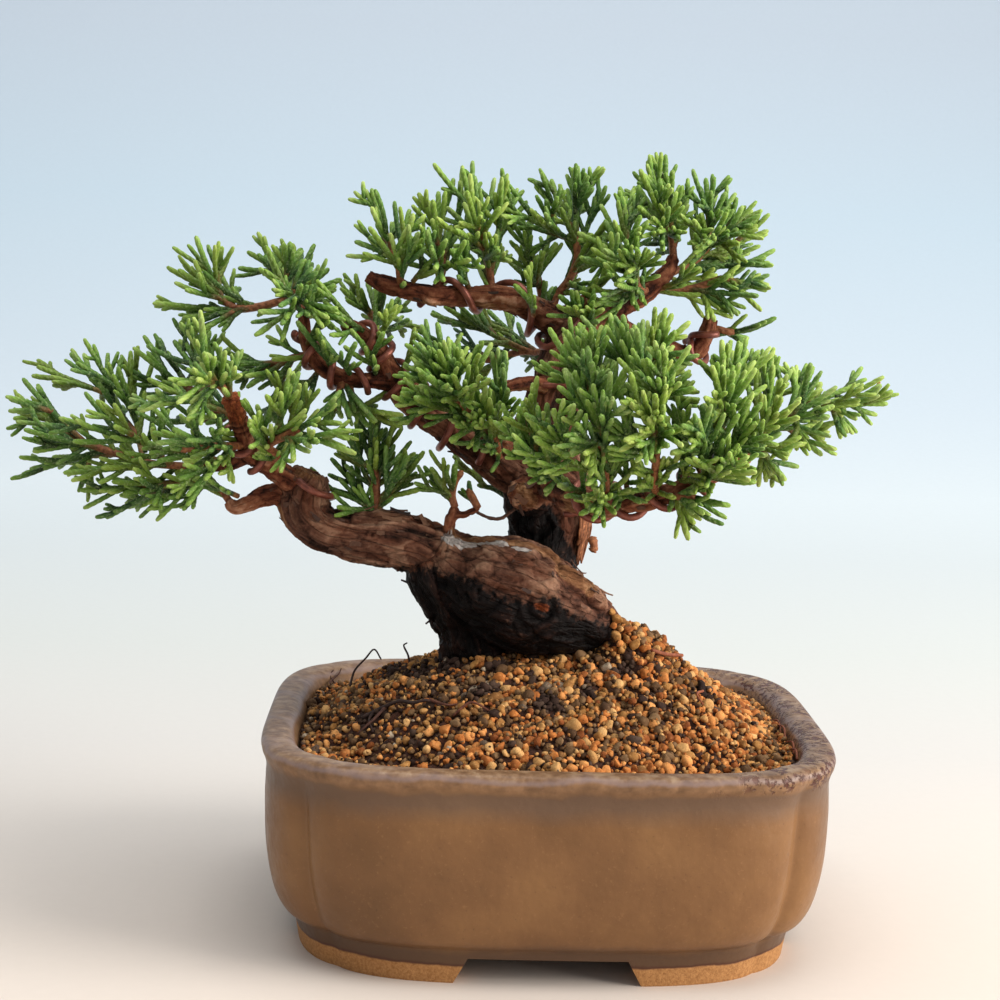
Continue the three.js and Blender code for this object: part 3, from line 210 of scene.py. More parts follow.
# The core of each spray: the way of its leafy stem, as x, y, z.
CORES = {
    "spray_left_long": [
        (-77.4, -10, 98.2), (-85.2, -8, 98.4), (-93.7, -5, 100.2), (-101.8, -3, 102.4),
    ],
    "spray_left_mid": [
        (-65, -21.3, 109.3), (-67.6, -17.6, 110.3), (-69.6, -14, 108.9), (-73.4, -6, 111.5),
        (-78, 0, 113.9),
    ],
    "spray_left_front": [(-66.8, -26, 114.4), (-67.9, -29.5, 116.6), (-69.1, -33, 117.8)],
    "spray_left_low": [(-68.6, -8, 91), (-70.9, -8, 93.6), (-76.8, -8, 94.4), (-83.5, -8, 94)],
    "spray_left_under": [
        (-64.3, -18, 103.9), (-67, -24, 104.1), (-69.3, -28, 104.6), (-72.3, -31, 104.8),
        (-75.3, -33, 104.1),
    ],
    "spray_left_right": [
        (-59.6, -12.6, 100.2), (-57.7, -17, 101.8), (-59.2, -22, 104.2), (-55.7, -26, 106.7),
        (-52.4, -28, 108.6),
    ],
    "spray_second_top": [
        (-53.6, -8, 131.5), (-56.7, -8, 133.4), (-62.3, -6, 132), (-67.5, -4, 131.2),
        (-70.7, -2, 132.7),
    ],
    "spray_second_low": [
        (-51, -9, 121.8), (-53.8, -8, 121.9), (-57.5, -6, 120.6), (-61.5, -4, 119.5),
    ],
    "spray_second_right": [
        (-39.2, -5.2, 125.6), (-38.7, -1, 126.9), (-38.7, 4, 128.9), (-40.2, 8, 130.9),
    ],
    "spray_second_under": [(-44.8, -8.4, 117.4), (-45.6, -10, 114.7), (-45.8, -10, 112.2)],
    "spray_left_upright": [
        (-37.5, -4, 86.5), (-37.4, -4, 91.3), (-37.7, -4, 95.6), (-38.2, -4, 98.2),
    ],
    "spray_low_twig": [
        (-20.7, -6, 90.5), (-21.4, -6, 93.1), (-20.8, -6, 96.3), (-19.4, -6, 98.1),
    ],
    "spray_low_side": [(-15.8, -6, 90.4), (-16.9, -6, 92.5), (-18, -5, 94.1)],
    "spray_upper_left": [
        (-33.3, -3.2, 136.4), (-33.5, -6, 138.9), (-34, -6, 142), (-35.3, -5, 144.5),
    ],
    "spray_upper_mid": [
        (-25, -2, 135.2), (-25.1, 0, 137.8), (-25.2, 0, 140.5), (-24.6, 0, 143.1),
    ],
    "spray_upper_right": [
        (-13.7, 1.6, 135), (-14.1, 4, 137.9), (-14.7, 4, 141.6), (-15.9, 4, 145),
    ],
    "spray_top_left": [
        (-1.6, 6.2, 130.4), (-2.5, 10, 133), (-2.9, 12, 135.7), (-3.9, 12, 139.9), (-5, 12, 144),
    ],
    "spray_top_mid": [
        (-0.6, 6, 130.2), (0.2, 8, 135.3), (3.1, 8, 139.5), (4.4, 8, 143.8), (4.1, 8, 148.6),
    ],
    "spray_top_low": [
        (6.3, 4, 129.6), (5.8, -0.6, 130.6), (5.5, -2.4, 131.3), (5.6, -4, 133.9), (5, -5, 136),
    ],
    "spray_crown_left": [
        (19.6, 5.6, 137.3), (18.6, 2, 137.5), (17.6, 0, 137.9), (15.4, -4, 140.5),
        (13.5, -6, 143.4),
    ],
    "spray_crown_mid": [(25.6, 9.4, 144.6), (25.2, 10, 148.3), (24.6, 10, 151.3)],
    "spray_crown_right": [
        (23.2, 7.6, 140), (26.5, 10.4, 141.8), (29.2, 12, 142.8), (32, 14, 145),
        (33.6, 14, 147.3),
    ],
    "spray_crown_low": [
        (20.2, 6, 137.6), (25.6, 7.6, 137.4), (30.2, 8, 138.1), (34.1, 8, 139.5),
        (36.6, 8, 140.5),
    ],
    "spray_back_right": [(33.7, 12, 128), (35.8, 12, 129.2), (38, 12, 128.7), (40, 12, 128.6)],
    "spray_rear": [
        (1.4, 7, 123.2), (-0.6, 15, 122.8), (-2.7, 22, 122.4), (-6.7, 25, 122.2),
        (-11.1, 28, 120.5), (-14.7, 30, 119.8),
    ],
    "spray_front_mid": [
        (-11, 5.4, 98.9), (-11.8, -3, 102.6), (-12.9, -10, 106.3), (-16.9, -16, 110.1),
        (-20.3, -20, 114.1),
    ],
    "spray_front_left": [
        (8.7, -18.4, 93.2), (8.4, -27, 95.6), (9.1, -34, 98.9), (8, -40, 104.4),
        (6.4, -44, 109.4),
    ],
    "spray_front_centre": [
        (20.2, -27.8, 97.2), (18.2, -38, 100.4), (17.8, -44, 106.2), (16.7, -48, 112.1),
    ],
    "spray_front_right": [
        (27.4, -31.8, 100), (29.1, -36.4, 102.1), (30, -40, 106.5), (29.9, -42, 110.7),
    ],
    "spray_front_low": [(22.6, -30.4, 97.4), (24, -34.4, 97.6), (27, -35.6, 97.6)],
    "spray_far_right": [
        (36.9, -27, 104.6), (41.4, -24, 108.8), (46.1, -22, 112.4), (50.8, -20, 115.7),
    ],
}

# All the wood that grows together into one skin.
LIMBS = [
    TRUNK,
    ROOT_STEM,
    SWOLLEN_BASE,
    LEFT_LIMB,
    LEFT_TWIG,
    LEFT_RISER,
    LEFT_REACH,
    BRANCH,
    BRANCH_FORK,
    TOP_BRANCH,
    FRONT_BRANCH,
    BACK_BRANCH,
    DEAD_TWIG,
    *SPURS,
]

# Training wires: the limb each is wound on, the shares of it where it starts and ends, the
# number of turns and the angle it starts at.
WIRE_TOP_ROUTE = TRUNK[7:10] + [(2.9, 5.6, 125.6, 6), (0.2, 6, 129.4, 5.6), (-5.2, 4.6, 132.6, 3.8)]
WIRES = {
    "wire_trunk_top": (WIRE_TOP_ROUTE + TOP_BRANCH[3:], 0.02, 0.78, 4.2, 3),
    "wire_branch": (BRANCH[1:], 0.22, 0.92, 5.6, 5.6),
    "wire_front": (FRONT_BRANCH, 0.2, 0.82, 4.25, 4.6),
    "wire_stub": (LEFT_LIMB[5:], 0.2, 0.72, -0.42, 2.3),
    "wire_left": (LEFT_RISER, 0.26, 0.62, 1.8, 4.6),
    "wire_fork": (BRANCH_FORK, 0.24, 0.86, 3, 5.2),
    "wire_back": (BACK_BRANCH, 0.42, 0.86, 1.5, 1),
}

# How light the leaves of each spray are, by the start of its name. The first start that fits
# counts: the near sprays catch the light, the rear ones stay bluish and dark.
PAD_LIGHT = {
    "spray_front_": 0.68,
    "spray_far_right": 0.86,
    "spray_left_front": 0.95,
    "spray_left_right": 0.8,
    "spray_left_long": 0.62,
    "spray_crown_": 0.6,
    "spray_upper_": 0.78,
    "spray_second_": 0.55,
    "spray_left_upright": 0.38,
    "spray_low_": 0.25,
    "spray_rear": 0.15,
}
PAD_LIGHT_ELSE = 0.5
# How far apart the twiglets of a spray stand, as a share of the usual gap.
PAD_GAP = {
    "spray_front_": 0.66,
    "spray_far_right": 1.15,
    "spray_left_upright": 1.15,
    "spray_left_front": 1.4,
    "spray_left_": 1.25,
    "spray_second_": 1.05,
    "spray_crown_": 1.1,
    "spray_upper_": 1.45,
}
PAD_GAP_ELSE = 1.2

# ------------------------------------------------------------------ small helpers

# How far a tube's end bulges out, as a share of its radius: grown tips and sawn ends.
ROUND_END = 0.8
CUT_END = 0.1


def pot_middle():
    """The middle of the pot's footprint in the part's frame, in metres."""
    low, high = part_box("pot")
    return np.array(((low.x + high.x) / 2, (low.y + high.y) / 2, low.z))


def metres(points):
    """Turns millimetres from the pot's middle into metres in the part's frame."""
    return np.asarray(points, float) * 0.001 + pot_middle()


def millimetres(points):
    """Turns metres in the part's frame into millimetres from the pot's middle."""
    return (np.asarray(points, float) - pot_middle()) * 1000


def mesh_points(mesh):
    """The points of a mesh, in millimetres from the pot's middle."""
    flat = np.empty(len(mesh.vertices) * 3)
    mesh.vertices.foreach_get("co", flat)
    return millimetres(flat.reshape(-1, 3))


def unit(vectors):
    """Scales vectors to length 1."""
    vectors = np.asarray(vectors, float)
    length = np.linalg.norm(vectors, axis=-1, keepdims=True)
    return vectors / np.maximum(length, 1e-9)


def smooth_route(rows, steps):
    """Smooth stations through the rows, so many for each stretch between two rows."""
    rows = np.array(rows, float)
    route = np.vstack([2 * rows[0] - rows[1], rows, 2 * rows[-1] - rows[-2]])
    t = np.linspace(0, 1, steps, endpoint=False)[:, None]
    stretches = []
    for i in range(len(rows) - 1):
        a, b, c, d = route[i : i + 4]
        bend = (2 * a - 5 * b + 4 * c - d) * t**2 + (3 * b - a - 3 * c + d) * t**3
        stretches.append(0.5 * (2 * b + (c - a) * t + bend))
    return np.vstack([*stretches, rows[-1:]])


def directions(points):
    """The direction of a route at each of its points."""
    return unit(np.gradient(points, axis=0))


def route_length(points):
    """The length of a route."""
    return np.linalg.norm(np.diff(points, axis=0), axis=1).sum()


def carried_frames(points):
    """Two directions across a route at each point, carried along it without a twist."""
    ahead = directions(points)
    helper = np.array([0, 0, 1.0]) if abs(ahead[0][2]) < 0.8 else np.array([1.0, 0, 0])
    side = np.cross(helper, ahead[0])
    sides = []
    for direction in ahead:
        side = side - direction * side.dot(direction)
        side = side / np.linalg.norm(side)
        sides.append(side)
    sides = np.array(sides)
    return sides, np.cross(ahead, sides)


def write_shares(mesh, shares):
    """Stores shares on a mesh, each one number per point."""
    for key, values in shares.items():
        mesh.attributes.new(key, "FLOAT", "POINT").data.foreach_set("value", values)


def mesh_object(name, points, quads, triangles, material, smooth=True, **shares):
    """Makes an object of quads and triangles. Each of the shares is one number per point."""
    mesh = bpy.data.meshes.new(name)
    quads = np.asarray(quads, int).reshape(-1, 4)
    triangles = np.asarray(triangles, int).reshape(-1, 3)
    corners = np.concatenate([quads.ravel(), triangles.ravel()])
    starts = np.concatenate(
        [np.arange(len(quads)) * 4, len(quads) * 4 + np.arange(len(triangles)) * 3]
    )
    mesh.vertices.add(len(points))
    mesh.vertices.foreach_set("co", metres(points).ravel())
    mesh.loops.add(len(corners))
    mesh.loops.foreach_set("vertex_index", corners)
    mesh.polygons.add(len(starts))
    mesh.polygons.foreach_set("loop_start", starts)
    mesh.polygons.foreach_set("use_smooth", np.full(len(starts), smooth))
    mesh.update(calc_edges=True)
    write_shares(mesh, shares)
    mesh.validate()
    mesh.materials.append(material)
    made = bpy.data.objects.new(name, mesh)
    bpy.context.collection.objects.link(made)
    return made


def finish_piece(piece, slot, *nodes):
    """Puts a piece on the part's one body, and in place of the CAD nodes that it replaces."""
    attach(piece, "root")
    if nodes:
        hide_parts(*nodes)


def applied(made, kind, **settings):
    """Adds a modifier to an object and keeps the mesh that results."""
    modifier = made.modifiers.new(kind.title(), kind)
    for key, value in settings.items():
        setattr(modifier, key, value)
    shown = made.evaluated_get(bpy.context.evaluated_depsgraph_get())
    mesh = bpy.data.meshes.new_from_object(shown)
    made.modifiers.clear()
    made.data = mesh


class Skin:
    """Gathers many small closed forms for one mesh, with shares for its material."""

    def __init__(self):
        self.points = []
        self.quads = []
        self.triangles = []
        self.shares = {}
        self.count = 0

    def add(self, points, quads, triangles, **shares):
        """Adds one closed form. A share is one number, or one number per point."""
        self.points.append(points)
        if len(quads):
            self.quads.append(np.asarray(quads) + self.count)
        if len(triangles):
            self.triangles.append(np.asarray(triangles) + self.count)
        for key, value in shares.items():
            filled = np.broadcast_to(np.asarray(value, float), len(points))
            self.shares.setdefault(key, []).append(filled)
        self.count += len(points)

    def build(self, name, material, smooth=True):
        """Makes one object of all the forms."""
        quads = np.vstack(self.quads) if self.quads else []
        triangles = np.vstack(self.triangles) if self.triangles else []
        shares = {key: np.concatenate(parts) for key, parts in self.shares.items()}
        return mesh_object(
            name, np.vstack(self.points), quads, triangles, material, smooth, **shares
        )


def ring_skin(rings, sides):
    """The faces of a closed skin: quads between its rings, and a fan over each end.

    The rings' points come first, then the middle of the first ring and of the last.
    """
    k = np.arange(sides)
    after = (k + 1) % sides
    rows = np.arange(rings - 1)[:, None] * sides
    quads = np.stack([rows + k, rows + after, rows + after + sides, rows + k + sides], axis=-1)
    middle = rings * sides
    end = middle - sides
    near = np.stack([np.full(sides, middle), after, k], axis=-1)
    far = np.stack([np.full(sides, middle + 1), end + k, end + after], axis=-1)
    return quads.reshape(-1, 4), np.vstack([near, far])


def tube(points, radii, sides, frames=None, rounding=ROUND_END):
    """A closed tube along a route, rounded off at its end. Radii may differ round a ring."""
    points = np.asarray(points, float)
    radii = np.asarray(radii, float)
    if radii.ndim == 1:
        radii = np.repeat(radii[:, None], sides, axis=1)
    side, across = frames if frames is not None else carried_frames(points)
    angle = 2 * np.pi * np.arange(sides) / sides
    ring = (
        side[:, None, :] * np.cos(angle)[None, :, None]
        + across[:, None, :] * np.sin(angle)[None, :, None]
    )
    skin = points[:, None, :] + ring * radii[:, :, None]
    ahead = directions(points)
    first = points[0] - ahead[0] * radii[0].mean() * 0.5
    last = points[-1] + ahead[-1] * radii[-1].mean() * rounding
    return np.vstack([skin.reshape(-1, 3), first, last]), *ring_skin(len(points), sides)


# ------------------------------------------------------------------ materials

# The sockets of a Mix node that hold colours.
MIX_COLOURS = (6, 7)
MIX_RESULT = 2


def linear(red, green, blue):
    """A colour as a painter reads it, 0 to 255, in the renderer's linear values."""
    values = [c / 255 for c in (red, green, blue)]
    values = [v / 12.92 if v <= 0.04045 else ((v + 0.055) / 1.055) ** 2.4 for v in values]
    return (*values, 1)


class Finish:
    """A procedural material, with short calls for the nodes that it needs."""

    def __init__(self, name, roughness=0.6):
        self.material = bpy.data.materials.new(name)
        self.material.use_nodes = True
        self.nodes = self.material.node_tree.nodes
        self.links = self.material.node_tree.links
        self.shader = self.nodes["Principled BSDF"]
        self.shader.inputs["Roughness"].default_value = roughness
        self.place = self.node("ShaderNodeTexCoord").outputs["Object"]

    def node(self, kind, inputs=None, **settings):
        """Adds a node, with its settings and with values or links on its inputs."""
        made = self.nodes.new(kind)
        for key, value in settings.items():
            setattr(made, key, value)
        for key, value in (inputs or {}).items():
            self.put(made.inputs[key], value)
        return made

    def put(self, socket, value):
        """Links a socket, or sets its value."""
        if isinstance(value, bpy.types.NodeSocket):
            self.links.new(value, socket)
        else:
            socket.default_value = value

    def share(self, name):
        """A number per point that the mesh carries."""
        return self.node("ShaderNodeAttribute", attribute_name=name).outputs["Fac"]

    def vector_share(self, name):
        """Three numbers per point that the mesh carries."""
        return self.node("ShaderNodeAttribute", attribute_name=name).outputs["Vector"]

    def axis(self, letter):
        """The place along one axis of the part's frame, in metres."""
        return self.node("ShaderNodeSeparateXYZ", {"Vector": self.place}).outputs[letter]

    def noise(self, size, detail=3, roughness=0.55, place=None):
        """Soft noise whose patches are about so many millimetres wide."""
        made = self.node(
            "ShaderNodeTexNoise",
            {
                "Vector": place or self.place,
                "Scale": 1000 / size,
                "Detail": detail,
                "Roughness": roughness,
            },
        )
        return made.outputs["Fac"]

    def cells(self, size, output="Distance", feature="F1", place=None):
        """Cells about so many millimetres wide: the distance in each, or its own colour."""
        made = self.node(
            "ShaderNodeTexVoronoi",
            {"Vector": place or self.place, "Scale": 1000 / size},
            feature=feature,
        )
        return made.outputs[output]

    def ramp(self, share, *stops):
        """Colours or greys along a share: pairs of a position and a colour."""
        made = self.node("ShaderNodeValToRGB", {"Fac": share})
        elements = made.color_ramp.elements
        while len(elements) < len(stops):
            elements.new(1)
        for element, (position, value) in zip(elements, stops):
            element.position = position
            element.color = value if isinstance(value, tuple) else (value, value, value, 1)
        return made.outputs["Color"]

    def between(self, value, low, high, from_value=0, to_value=1):
        """Maps low to high onto two other values, and holds them outside."""
        made = self.node(
            "ShaderNodeMapRange",
            {
                "Value": value,
                "From Min": low,
                "From Max": high,
                "To Min": from_value,
                "To Max": to_value,
            },
        )
        return made.outputs["Result"]

    def mix(self, share, first, second, blend="MIX"):
        """The first colour, going over to the second by a share."""
        made = self.node("ShaderNodeMix", data_type="RGBA", blend_type=blend)
        colour_a, colour_b = (made.inputs[i] for i in MIX_COLOURS)
        self.put(made.inputs["Factor"], share)
        self.put(colour_a, first)
        self.put(colour_b, second)
        return made.outputs[MIX_RESULT]

    def maths(self, operation, first, second):
        """One sum of two numbers."""
        made = self.node("ShaderNodeMath", operation=operation)
        self.put(made.inputs[0], first)
        self.put(made.inputs[1], second)
        return made.outputs[0]

    def times(self, first, second):
        """One number times another."""
        return self.maths("MULTIPLY", first, second)

    def band(self, height, bottom, top):
        """1 in a band of heights. It fades in over the bottom pair and out over the top."""
        return self.times(self.between(height, *bottom), self.between(height, *top))

    def colour(self, value):
        """Sets the surface's colour."""
        self.put(self.shader.inputs["Base Color"], value)

    def roughness(self, value):
        """Sets how matt the surface is."""
        self.put(self.shader.inputs["Roughness"], value)

    def relief(self, *layers):
        """Bumps: pairs of a height share and its depth in millimetres."""
        normal = None
        for share, depth in layers:
            made = self.node("ShaderNodeBump", {"Height": share, "Distance": depth / 1000})
            made.inputs["Strength"].default_value = 1
            if normal is not None:
                self.put(made.inputs["Normal"], normal)
            normal = made.outputs["Normal"]
        self.put(self.shader.inputs["Normal"], normal)


# The glaze's bands and the painted shade under the rim, in metres above the floor: each fades from
# nothing to whole over a pair.
SHADE_BOTTOM = (0.0345, 0.0385)
SHADE_TOP = (0.0422, 0.0405)
TAN_RIM = (0.0408, 0.0424)
PALE_LIP = (0.0437, 0.0446)
EDGE_BOTTOM = (0.0432, 0.0438)
EDGE_TOP = (0.0448, 0.0441)
SMOOTH_RIM = (0.041, 0.044)
WORN_RIM = (0.0395, 0.042)
WORN_RIGHT = (0.052, 0.068)  # along X
DARK_FOOT = (0.0098, 0.0066)
GLAZE_LINE = (0.0048, 0.0042)
BARE_CLAY = (0.0042, 0.0038)


def glaze_finish(settings):
    """Olive-brown glaze with painted shade under the rim, worn on it, ending above the bare feet.
    """
    finish = Finish("glaze", 0.42)
    high = finish.axis("Z")
    cloud = finish.noise(26, 4, 0.5)
    body = finish.ramp(
        cloud,
        (0.32, linear(104, 72, 42)),
        (0.5, (*settings.glaze, 1)),
        (0.68, linear(134, 96, 58)),
    )
    fleck = finish.noise(0.8, 3, 0.6)
    body = finish.mix(finish.between(fleck, 0.6, 0.72, 0, 0.3), body, linear(150, 110, 72))
    body = finish.mix(finish.between(fleck, 0.36, 0.27, 0, 0.35), body, linear(78, 54, 36))
    wander = finish.maths("SUBTRACT", finish.noise(11, 4), 0.5)
    level = finish.maths("ADD", high, finish.times(wander, 0.004))
    # Painted shade: a grey-brown band under the overhanging rim.
    shade = finish.band(level, SHADE_BOTTOM, SHADE_TOP)
    body = finish.mix(finish.times(shade, 0.8), body, linear(98, 76, 60))
    speckle = finish.noise(2.4, 4, 0.6)
    tan = finish.ramp(speckle, (0.32, linear(110, 80, 54)), (0.68, linear(146, 110, 78)))
    body = finish.mix(finish.between(level, *TAN_RIM), body, tan)
    lip = finish.ramp(
        speckle,
        (0.32, linear(100, 72, 50)),
        (0.5, linear(128, 98, 72)),
        (0.68, linear(152, 126, 100)),
    )
    body = finish.mix(finish.between(level, *PALE_LIP), body, lip)
    edge = finish.band(level, EDGE_BOTTOM, EDGE_TOP)
    body = finish.mix(finish.times(edge, 0.5), body, linear(138, 122, 122))
    right = finish.between(finish.axis("X"), *WORN_RIGHT)
    pits = finish.between(finish.noise(1.3, 4, 0.65), 0.5, 0.56)
    patch = finish.between(finish.noise(9, 3), 0.42, 0.5)
    worn = finish.times(finish.times(right, pits), patch)
    worn = finish.times(worn, finish.between(level, *WORN_RIM))
    body = finish.mix(worn, body, linear(84, 46, 36))
    body = finish.mix(finish.between(level, *DARK_FOOT, 0, 0.85), body, linear(80, 58, 42))
    foot = finish.maths("ADD", high, finish.times(wander, 0.0022))
    body = finish.mix(finish.between(foot, *GLAZE_LINE), body, linear(74, 40, 26))
    bare = finish.between(foot, *BARE_CLAY)
    clay_grain = finish.noise(0.6, 5, 0.7)
    clay = finish.ramp(clay_grain, (0.3, linear(140, 94, 52)), (0.7, linear(188, 138, 86)))
    finish.colour(finish.mix(bare, body, clay))
    gloss = finish.between(finish.noise(2.5, 4), 0.3, 0.7, 0.36, 0.5)
    gloss = finish.mix(finish.between(level, *SMOOTH_RIM), gloss, (0.44, 0.44, 0.44, 1))
    finish.roughness(finish.mix(bare, gloss, (0.85, 0.85, 0.85, 1)))
    finish.shader.inputs["Specular IOR Level"].default_value = 0.32
    finish.relief(
        (finish.noise(9, 3), 0.5),
        (finish.noise(0.8, 3, 0.6), 0.03),
        (worn, -0.25),
        (finish.times(bare, clay_grain), 0.14),
    )
    return finish.material


def grain_finish(name, tones):
    """Baked-clay grains: each has its own tone, with pores and dust."""
    finish = Finish(name, 0.88)
    tint = finish.share("tint")
    body = finish.ramp(tint, *[(i / (len(tones) - 1), c) for i, c in enumerate(tones)])
    dust = finish.noise(0.9, 4, 0.65)
    body = finish.mix(finish.between(dust, 0.52, 0.7, 0, 0.5), body, tones[-1])
    body = finish.mix(finish.between(dust, 0.46, 0.3, 0, 0.6), body, tones[0])
    pores = finish.between(finish.cells(0.4), 0.0, 0.3)
    body = finish.mix(0.3, body, finish.ramp(pores, (0, 0.25), (1, 1.0)), "MULTIPLY")
    finish.colour(body)
    finish.shader.inputs["Specular IOR Level"].default_value = 0.25
    finish.relief((finish.noise(0.5, 4, 0.7), 0.12), (pores, 0.05))
    return finish.material


def bark_finish():
    """Fibrous brown bark, black on the base where it is wet and in painted shade, pale where it was
    pasted or bared.
    """
    finish = Finish("bark", 0.75)
    grain = finish.vector_share("grain")
    fibres = finish.noise(1.0, 6, 0.7, place=grain)
    broad = finish.noise(4.5, 5, 0.62, place=grain)
    mottle = finish.noise(1.7, 5, 0.68)
    # Lighter on the crests of the relief and darker in its valleys: partly the bark's own tone,
    # partly painted light and shade.
    crest_tone_and_shade = finish.share("crest_tone_and_shade")
    tone = finish.maths("ADD", finish.times(crest_tone_and_shade, 0.7), finish.times(mottle, 0.6))
    body = finish.ramp(
        tone,
        (0.3, linear(40, 24, 18)),
        (0.48, linear(94, 61, 48)),
        (0.64, linear(124, 86, 68)),
        (0.84, linear(166, 128, 104)),
    )
    body = finish.mix(finish.between(broad, 0.45, 0.7, 0, 0.6), body, linear(116, 62, 36))
    streaks = finish.ramp(fibres, (0.3, 0.45), (0.48, 0.92), (0.66, 1.0))
    body = finish.mix(0.75, body, streaks, "MULTIPLY")
    body = finish.mix(finish.between(fibres, 0.6, 0.74, 0, 0.4), body, linear(166, 128, 102))
    sway = finish.node("ShaderNodeTexNoise", {"Vector": grain, "Scale": 420, "Detail": 3})
    bent = finish.node(
        "ShaderNodeVectorMath",
        {0: sway.outputs["Color"], 1: (0.0016, 0.0016, 0.0008), 2: grain},
        operation="MULTIPLY_ADD",
    )
    seams = finish.cells(2.3, "Distance", "DISTANCE_TO_EDGE", place=bent.outputs["Vector"])
    seams = finish.between(seams, 0.0, 0.07)
    body = finish.mix(0.5, body, finish.ramp(seams, (0, 0.3), (1, 1.0)), "MULTIPLY")
    young = finish.ramp(
        tone,
        (0.3, linear(46, 22, 15)),
        (0.5, linear(104, 56, 38)),
        (0.7, linear(142, 90, 64)),
        (0.88, linear(180, 134, 106)),
    )
    body = finish.mix(finish.share("twig"), body, young)
    crumbs = finish.maths("SUBTRACT", finish.noise(1.3, 5, 0.72, place=grain), 0.5)
    dead = finish.ramp(
        fibres,
        (0.3, linear(76, 46, 28)),
        (0.5, linear(132, 90, 60)),
        (0.7, linear(178, 138, 102)),
    )
    body = finish.mix(ragged(finish, "dead", crumbs, 0.4, 0.75), body, dead)
    # Black bark: wet, and painted shade on the underside of the base and the lower left of the
    # trunk.
    wet_and_shade = ragged(finish, "wet_and_shade", finish.maths("SUBTRACT", mottle, 0.5), 0.3, 0.75)
    # The wet black is darkest in the valleys of the relief: painted shade.
    ridges = finish.maths("ADD", finish.times(crest_tone_and_shade, 0.5), finish.times(fibres, 0.7))
    black = finish.ramp(
        ridges,
        (0.4, linear(5, 3, 3)),
        (0.62, linear(16, 8, 7)),
        (0.85, linear(46, 26, 19)),
    )
    body = finish.mix(wet_and_shade, body, black)
    glow = finish.ramp(mottle, (0.35, linear(96, 40, 22)), (0.65, linear(176, 98, 58)))
    body = finish.mix(ragged(finish, "glow", crumbs, 0.35, 0.7), body, glow)
    paste = finish.ramp(
        finish.between(crumbs, -0.15, 0.15), (0, linear(140, 122, 112)), (1, linear(206, 198, 194))
    )
    pale = ragged(finish, "pale", crumbs, 0.5, 0.66)
    body = finish.mix(pale, body, paste)
    finish.colour(body)
    finish.roughness(finish.between(wet_and_shade, 0, 1, 0.78, 0.5))
    finish.shader.inputs["Specular IOR Level"].default_value = 0.14
    finish.relief(
        (broad, 0.5),
        (seams, 0.3),
        (fibres, 0.6),
        (finish.noise(0.6, 4, 0.65), 0.25),
        (pale, 0.2),
    )
    return finish.material


def ragged(finish, share, crumbs, low, high):
    """A share with its edge broken up, so that it ends in crumbs and not in a soft fade."""
    rough = finish.maths("ADD", finish.share(share), finish.times(crumbs, 2.2))
    near = finish.between(finish.share(share), 0, 0.15)
    return finish.times(finish.between(rough, low, high), near)


def leaf_finish():
    """Overlapping scale leaves, dark when old and pale yellow-green at the tips, with painted light
    and shade on each spray.
    """
    finish = Finish("foliage", 0.55)
    # The age share also holds painted light: lit sprays paler, shaded ones darker.
    body = finish.ramp(
        finish.share("age"),
        (0, linear(26, 42, 18)),
        (0.28, linear(52, 82, 30)),
        (0.52, linear(86, 124, 44)),
        (0.76, linear(128, 162, 66)),
        (1, linear(174, 196, 106)),
    )
    hue = finish.share("hue")
    body = finish.mix(finish.between(hue, 0.55, 1, 0, 0.32), body, linear(158, 172, 64))
    body = finish.mix(finish.between(hue, 0.3, 0, 0, 0.35), body, linear(62, 100, 66))
    # Painted shade between the scale leaves, painted light on the scales themselves.
    scale = finish.share("scale")
    body = finish.mix(0.35, body, finish.ramp(scale, (0, 0.5), (1, 1.0)), "MULTIPLY")
    speck = finish.between(finish.noise(0.5, 3, 0.6), 0.52, 0.68, 0, 0.38)
    body = finish.mix(speck, body, linear(180, 196, 142))
    bark = finish.ramp(finish.noise(0.8, 3), (0.3, linear(94, 52, 34)), (0.7, linear(158, 104, 68)))
    body = finish.mix(finish.share("woody"), body, bark)
    finish.colour(body)
    finish.shader.inputs["Specular IOR Level"].default_value = 0.22
    finish.shader.inputs["Subsurface Weight"].default_value = 0.12
    finish.shader.inputs["Subsurface Radius"].default_value = (0.3, 0.6, 0.15)
    finish.shader.inputs["Subsurface Scale"].default_value = 0.001
    finish.relief((scale, 0.1), (finish.noise(0.3, 2), 0.04))
    return finish.material


def copper_finish():
    """Brown anodised training wire, scuffed in places."""
    finish = Finish("copper", 0.42)
    tarnish = finish.noise(2.2, 4, 0.6)
    finish.colour(
        finish.ramp(
            tarnish,
            (0.3, linear(86, 44, 36)),
            (0.55, linear(130, 72, 57)),
            (0.8, linear(168, 108, 86)),
        )
    )
    finish.shader.inputs["Metallic"].default_value = 0.4
    finish.roughness(finish.between(tarnish, 0.3, 0.7, 0.5, 0.36))
    finish.relief((finish.noise(0.5, 3), 0.03))
    return finish.material


def galvanised_finish():
    """Dull zinc on the tie wire."""
    finish = Finish("galvanised", 0.5)
    spangle = finish.cells(1.5, "Color")
    tone = finish.ramp(spangle, (0.2, linear(120, 124, 128)), (0.8, linear(168, 170, 172)))
    finish.colour(tone)
    finish.shader.inputs["Metallic"].default_value = 0.9
    finish.relief((finish.noise(0.6, 3), 0.03))
    return finish.material


def net_finish():
    """Dusty black plastic net."""
    finish = Finish("mesh", 0.6)
    dust = finish.noise(1.2, 4)
    finish.colour(finish.ramp(dust, (0.4, linear(34, 37, 40)), (0.8, linear(92, 82, 70))))
    finish.relief((finish.noise(0.5, 3), 0.05))
    return finish.material


